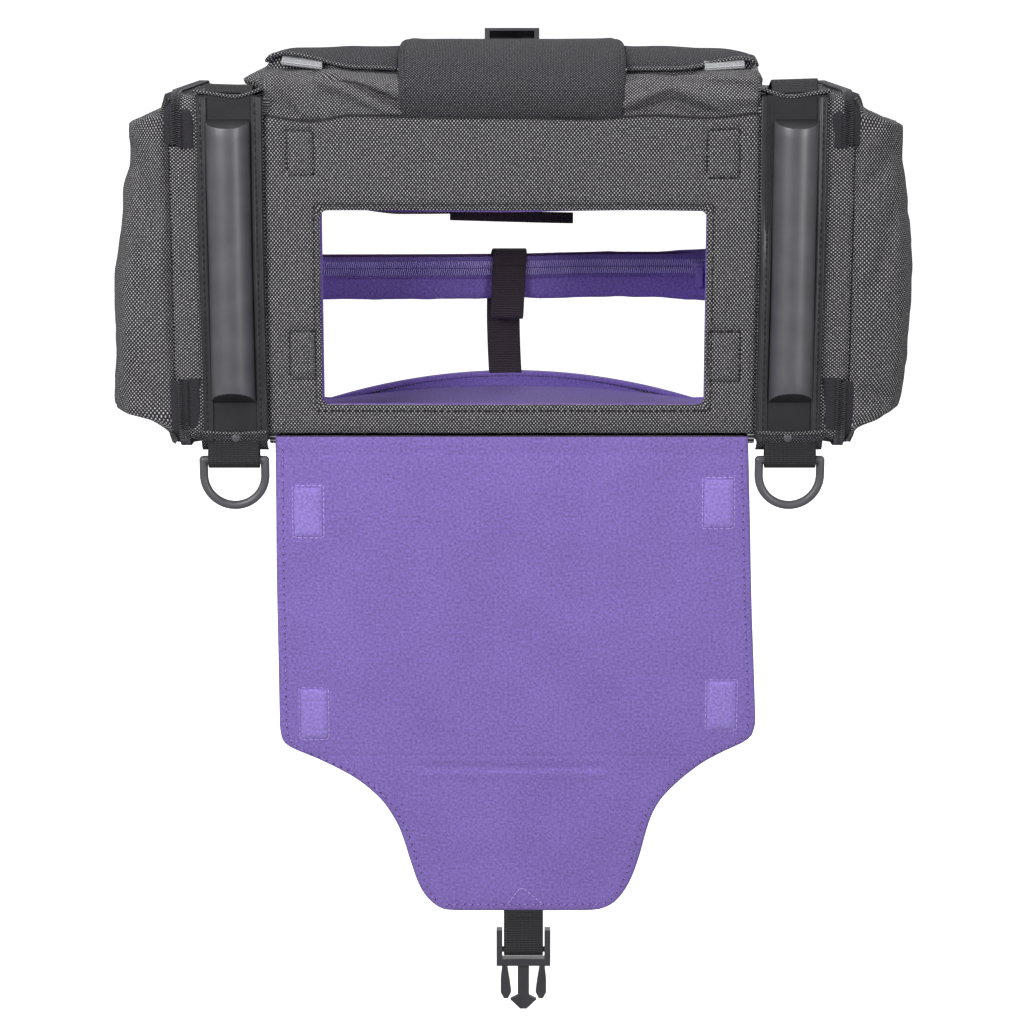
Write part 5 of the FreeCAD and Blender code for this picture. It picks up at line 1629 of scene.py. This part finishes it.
@dataclass
class RearWall:
    """The wall with the rear opening, its lining, the webbing over the buckle's anchor and the floor."""

    palette: Palette
    room: Room = room_of("rear_panel")
    opening: tuple[float, float, float, float] = (-126.0, 126.0, 20.0, 122.0)
    top_edge: Course = course((-126, 5.0), (-104, 3.4), (-70, -0.6), (-39, -0.4), (39, 2.0), (126, 5.0))

    def build(self) -> None:
        """Builds the wall, the floor, the anchor and the hem over the opening."""
        x0, x1, z0, z1 = self.opening

        def spot(x: float, z: float) -> Vector:
            """A point of the wall's outer face."""
            rim = math.hypot(max(x0 - x, 0, x - x1), max(z0 - z, 0, z - z1))
            edge = min(self.room.x1 - abs(x), z, 190 - z)
            y = 150.6 - 1.6 * math.exp(-rim / 1.8) - 1.8 * math.exp(-edge / 2.6)
            y += 0.8 * crumple((x, 1, z), 42, 6.3)
            if z >= z1:
                z += self.top_edge(-x) * math.exp(-abs(z - z1) / 12)
            elif z <= z0 and abs(x) <= x1 + 0.1:
                z *= self.foot(x) / z0
            return at(-x, y, z)

        obj = lattice("rear_skin", spaced(-142.3, 142.3, 3.2, x0, x1), spaced(0.6, 189.6, 3.2, z0, z1), spot,
                      Cut.FLAT)
        delete_faces(obj, lambda c: x0 < c.x < x1 and self.foot(c.x) < c.z < z1 + self.top_edge(c.x) * 0.9)
        thicken(obj, 4.4, back=1)
        round_off(obj, 0.8, 2)
        wrap_rim(obj)
        smooth(obj)
        dress(obj, "bag", "woven_nylon", self.palette.nylon, self.palette.lining,
              replaces=("rear_panel", "rear_lining"))
        hem = self.hem_stitching(spot)
        dress(hem, "bag", "woven_nylon", self.palette.thread)

        def ground(x: float, y: float) -> Vector:
            """A point of the floor's outer face."""
            return at(x, 151 - y, 0.3 + 0.5 * math.exp(-min(142.3 - abs(x), y - 2, 149 - y) / 3))

        floor = lattice("floor_cloth", spaced(-142.3, 142.3, 5), spaced(2.5, 148.5, 5), ground, Cut.FLAT)
        make_up(floor, 2.0, 0.6)
        dress(floor, "bag", "woven_nylon", self.palette.nylon, replaces=("floor_outer", "floor_board"))
        as_sheet(floor)

        def bed(x: float, y: float) -> Vector:
            """A point of the padded lining on the floor, which rises to the domed sill at the back."""
            back = ease(30, 140, y)
            z = 8.8 + (4.5 + (self.foot(x) - 4.5) * 0.5 - 8.8) * back
            return at(x, y, max(3.2, z) + 0.5 * crumple((x, y, 0), 24, 1.0) * (1 - back))

        lining = lattice("floor_lining_cloth", spaced(-138, 138, 3), spaced(5.0, 146.2, 2.4), bed)
        make_up(lining, 1.4)
        dress(lining, "bag", "purple_lining", self.palette.lining, replaces=("floor_lining",))
        as_sheet(lining)
        brow = [at(x, 148.3, self.foot(x) + 0.7) for x in spaced(-117.5, 117.5, 3)]
        binding = ribbon("rear_sill_binding", brow, Vector((0, 1, 0)), 6.6, 1.2, 4)
        dress(binding, "bag", "purple_lining", self.palette.lining, replaces=("rear_sill",))
        as_sheet(binding)
        welt = [at(x, 145.9, self.foot(x) - 0.3) for x in spaced(-117, 117, 3)]
        dress(cordage("rear_sill_welt", welt, 1.5, 8), "bag", "purple_lining", self.palette.lining)

        run = [(152.2, 182), (152.6, 194), (152.4, 204), (150.2, 210.5), (143.8, 217.6), (133.0, 224.4),
               (124.0, 229.2)]
        line = through([(0, *p) for p in run], 1.6)
        strap = ribbon("anchor_webbing", line, Vector((1, 0, 0)), 25.0, 1.6, 8)
        dress(strap, "bag", "black_webbing", self.palette.black_webbing, replaces=("buckle_anchor",))
        as_sheet(strap)
        line = [at(-39.3, 145.6, 121.4), at(-10, 145.2, 120.6), at(20, 145.2, 119.8), at(38.7, 145.6, 119.4)]
        tape = ribbon("opening_hem_tape", line, Vector((0, 0.1, 1)), 7.0, 1.4, 4)
        dress(tape, "bag", "black_webbing", self.palette.soft_webbing)
        as_sheet(tape)

    def foot(self, x: float) -> float:
        """Height of the opening's lower edge, which domes up in the middle."""
        return 20.0 - 18.2 * min(1.0, abs(x) / 118) ** 2

    def hem_stitching(self, spot: Callable[[float, float], Vector]) -> Object:
        """The sewing round the rear opening."""
        x0, x1, z0, z1 = (edge + gap for edge, gap in zip(self.opening, (-4, 4, -4, 4)))
        ring = [(x0, z0), (x1, z0), (x1, z1), (x0, z1), (x0, z0)]
        track = [spot(x, z) for x, z in outline(ring, 40)]
        return sewing("opening_stitching", track, toward(0, 1, 0), 3.6, 2.2, 0.6)


@dataclass
class Inside:
    """The padded band with its violet zip, and the strap round it."""

    palette: Palette
    middle: Course = course((-137, 82.4), (-60, 82.6), (0, 83.0), (60, 84.2), (110, 84.2), (137, 83.4))
    half: float = 14.3
    front: float = 135.0
    zip_rise: float = 6.0

    def build(self) -> None:
        """Builds the band, its zip and the strap."""
        self.band()
        self.band_zip()
        self.slider()
        self.strap()

    def band(self) -> None:
        """A soft roll right across the bag, a little flat behind its zip."""

        def spot(turn: float, x: float) -> Vector:
            """A point of the roll's skin."""
            c, s = math.cos(turn), math.sin(turn)
            r = 1 + 0.03 * crumple((x, 9 * c, 9 * s), 16, 2.0) + 0.02 * crumple((x, 9 * c, 9 * s), 6, 5.0)
            nip = 1 - 0.10 * math.exp(-(((x + 2) / 12) ** 2)) + 0.16 * ease(84, 128, x)
            y = 140.6 - math.copysign(abs(c) ** 0.8, c) * 5.2 * r * nip
            return at(x, y, self.middle(x) + math.copysign(abs(s) ** 0.9, s) * self.half * r * nip)

        turns = [TURN * i / 30 for i in range(31)]
        obj = lattice("band_roll", turns, spaced(-137.2, 137.2, 3.0), spot)
        weld(obj, fill=True)
        smooth(obj, 60)
        dress(obj, "bag", "purple_lining", self.palette.lining, replaces=("rear_band",))
        top = [at(x, 138.2, self.middle(x) + self.half - 0.5) for x in spaced(-137, 137, 3)]
        dress(cordage("band_top_edge", top, 0.9, 6), "bag", "purple_lining", self.palette.edge)

    def band_zip(self) -> None:
        """Two violet tapes and the coil between them."""
        line = [at(x, self.front - 0.3, self.middle(x) + self.zip_rise) for x in spaced(-136, 136, 2.4)]
        tape = ribbon("band_zip_tape", line, Vector((0, 0.18, -1)), 15.0, 0.8, 6)
        dress(tape, "bag", "purple_zip", self.palette.violet_tape, replaces=("band_zip",))
        as_sheet(tape)
        for row, half in (("upper", 1), ("lower", -1)):
            places = along(even(line, 1.3), FORWARD, 1.0, tilt=90 + 12 * half)
            teeth = copies(f"band_coil_{row}", bead(4.4, 0.85, 1.4, 5),
                           [Matrix.Translation((0, 0, half * 2.35 * MM)) @ m for m in places])
            # the pale coil colour is painted light
            dress(teeth, "bag", "purple_zip", self.palette.violet_coil_painted_light)
        for row, side in (("upper", 6.4), ("lower", -6.4)):
            track = [p + Vector((0, -0.6 * MM, side * MM)) for p in line]
            dress(sewing(f"band_stitching_{row}", track, FORWARD, 3.0, 2.0, 0.5), "bag", "purple_zip",
                  self.palette.violet_thread)

    def slider(self) -> None:
        """The band zip's slider, with a short pull that lies on the band."""
        room = Room.of("band_slider")
        x, z = (room.x0 + room.x1) / 2, self.middle(60) + self.zip_rise
        block = copies("band_slider_block", bead(9.0, 7.0, 3.0, 12),
                       along([at(x - 1, self.front - 2.0, z), at(x + 1, self.front - 2.0, z)], FORWARD))
        dress(block, "band_slider", "black_metal", self.palette.violet_lacquer, replaces=("band_slider",))
        tab = ribbon("band_slider_pull", [at(x, self.front - 4.0, z), at(x, self.front - 4.6, z - 5),
                                          at(x, self.front - 4.2, z - 13)], Vector((1, 0, 0)), 4.6, 1.2, 4)
        dress(tab, "band_slider", "black_metal", self.palette.violet_lacquer)

    def strap(self) -> None:
        """The black strap that loops over the band and runs down the rear wall."""
        run = [(-3.8, 136.6, 60.5), (-3.6, 132.2, 57.4), (-3.2, 130.6, 60.0), (-2.6, 130.2, 72),
               (-1.8, 130.4, 86), (-1.2, 131.6, 95.5), (-1.2, 136.0, 99.8), (-2.2, 143.0, 99.4),
               (-3.4, 146.6, 94), (-5.0, 146.4, 80), (-5.6, 145.6, 60), (-5.2, 145.6, 40), (-4.6, 145.4, 26),
               (-4.2, 145.4, 19)]
        obj = ribbon("load_strap_webbing", through(run, 1.8), Vector((1, 0, 0)), 21.0, 1.3, 8)
        dress(obj, "bag", "black_webbing", self.palette.soft_webbing, replaces=("load_strap",))
        as_sheet(obj)
        row = [at(x, 129.4, 91.0) for x in spaced(-11.5, 8.5, 1)]
        dress(sewing("load_strap_stitching", row, FORWARD, 2.8, 1.9, 0.6), "bag", "black_webbing",
              self.palette.thread)


@dataclass
class TongueStrap:
    """The doubled webbing that carries the buckle below the tongue."""

    palette: Palette
    room: Room = room_of("tongue_webbing")

    def build(self) -> None:
        """Builds the loop round the buckle's bar and the sewing that closes it."""
        middle = (self.room.x0 + self.room.x1) / 2
        run = [(1.6, -288.9), (1.0, -296), (0.2, -304), (-0.5, -310), (-0.2, -315.5), (2.5, -318.0),
               (5.2, -315.5), (5.4, -310), (4.4, -302), (3.8, -295), (3.4, -289.2)]
        line = through([(middle, *p) for p in run], 1.4)
        obj = ribbon("tongue_strap_webbing", line, Vector((1, 0, 0)), self.room.x1 - self.room.x0 - 1, 1.2, 8)
        dress(obj, "strap", "black_webbing", self.palette.black_webbing, replaces=("tongue_webbing",))
        as_sheet(obj)
        row = [at(x, 0.2, -293.2) for x in spaced(self.room.x0 + 2, self.room.x1 - 2, 1)]
        dress(sewing("tongue_strap_stitching", row, FORWARD, 2.8, 1.9, 0.6), "strap", "black_webbing",
              self.palette.thread)


PARTS = (FrontWall, RearWall, TopCover, LeftPocket, RightPocket, Inside, FlapPanel, TongueStrap)
"""The sub-assemblies, in the order they are built."""


# --------------------------------------------------------------------------- studio


@dataclass
class Studio:
    """A pale floor, soft lights and the camera."""

    aim: Point = (0.0, 0.0, -40.0)
    distance: float = 1500.0
    elevation: float = 12.0
    lens: float = 89.37
    floor_gap: float = 6.0
    lights: tuple[tuple[str, Point, float, float], ...] = (
        ("key", (-0.85, -1.25, 0.75), 0.8, 16.5), ("strip", (1.15, -1.55, 0.35), 0.4, 8.5),
        ("top", (0.1, 0.1, 1.6), 1.0, 10.5), ("back", (0.3, 1.7, 0.7), 1.2, 5.0))
    """Name, place in metres, side in metres and watts of each square light."""

    def build(self) -> None:
        """Sets up the floor, the lights, the world and the camera."""
        self.floor()
        for light in self.lights:
            self.light(*light)
        self.world()
        self.camera()
        bpy.context.scene.view_settings.view_transform = "Standard"

    def floor(self) -> None:
        """A wide plain floor below the lowest piece."""
        low = CAD_BOX[0][2] - self.floor_gap * MM
        unselect()
        bpy.ops.mesh.primitive_plane_add(size=60, location=(0, 0, low))
        plane = bpy.context.object
        plane.name = "studio_floor"
        paper = Finish("white paper", "#f4f4f4", Where.PIECE, roughness=0.95).make()
        shader = paper.node_tree.nodes["Principled BSDF"]
        shader.inputs["Emission Color"].default_value = (1, 1, 1, 1)
        shader.inputs["Emission Strength"].default_value = 0.9
        plane.data.materials.append(paper)
        bpy.ops.mesh.primitive_plane_add(size=60, location=(0, 24, 0), rotation=(math.pi / 2, 0, 0))
        wall = bpy.context.object
        wall.name = "studio_backdrop"
        wall.data.materials.append(paper)
        for piece in (plane, wall):
            piece.visible_diffuse = piece.visible_glossy = False

    def light(self, name: str, place: Point, size: float, watts: float) -> None:
        """One soft square light that faces the bag."""
        lamp = bpy.data.lights.new(name, "AREA")
        lamp.energy, lamp.size, lamp.shape = watts, size, "SQUARE"
        obj = bpy.data.objects.new(name, lamp)
        bpy.context.collection.objects.link(obj)
        obj.location = place
        obj.rotation_euler = (-Vector(place)).to_track_quat("-Z", "Y").to_euler()

    def world(self) -> None:
        """An even white surround."""
        world = bpy.data.worlds.new("studio")
        bpy.context.scene.world = world
        world.use_nodes = True
        ground = world.node_tree.nodes["Background"]
        ground.inputs["Color"].default_value = (1, 1, 1, 1)
        ground.inputs["Strength"].default_value = 0.3

    def camera(self) -> None:
        """The camera, on a line that looks slightly down at the front."""
        aim = at(*self.aim)
        rise = math.radians(self.elevation)
        place = aim + Vector((0, -math.cos(rise), math.sin(rise))) * self.distance * MM
        data = bpy.data.cameras.new("camera")
        data.lens, data.sensor_width = self.lens, 36.0
        obj = bpy.data.objects.new("camera", data)
        bpy.context.collection.objects.link(obj)
        obj.location = place
        obj.rotation_euler = (aim - place).to_track_quat("-Z", "Y").to_euler()
        bpy.context.scene.camera = obj


def main() -> None:
    """Builds every sub-assembly around the frame."""
    logging.basicConfig(level=logging.INFO, format="%(message)s")
    palette = Palette()
    for part in PARTS:
        LOG.info("-- %s", part.__name__)
        part(palette).build()
    palette.repaint_nodes()
    Studio().build()


if __name__ == "__main__":
    main()
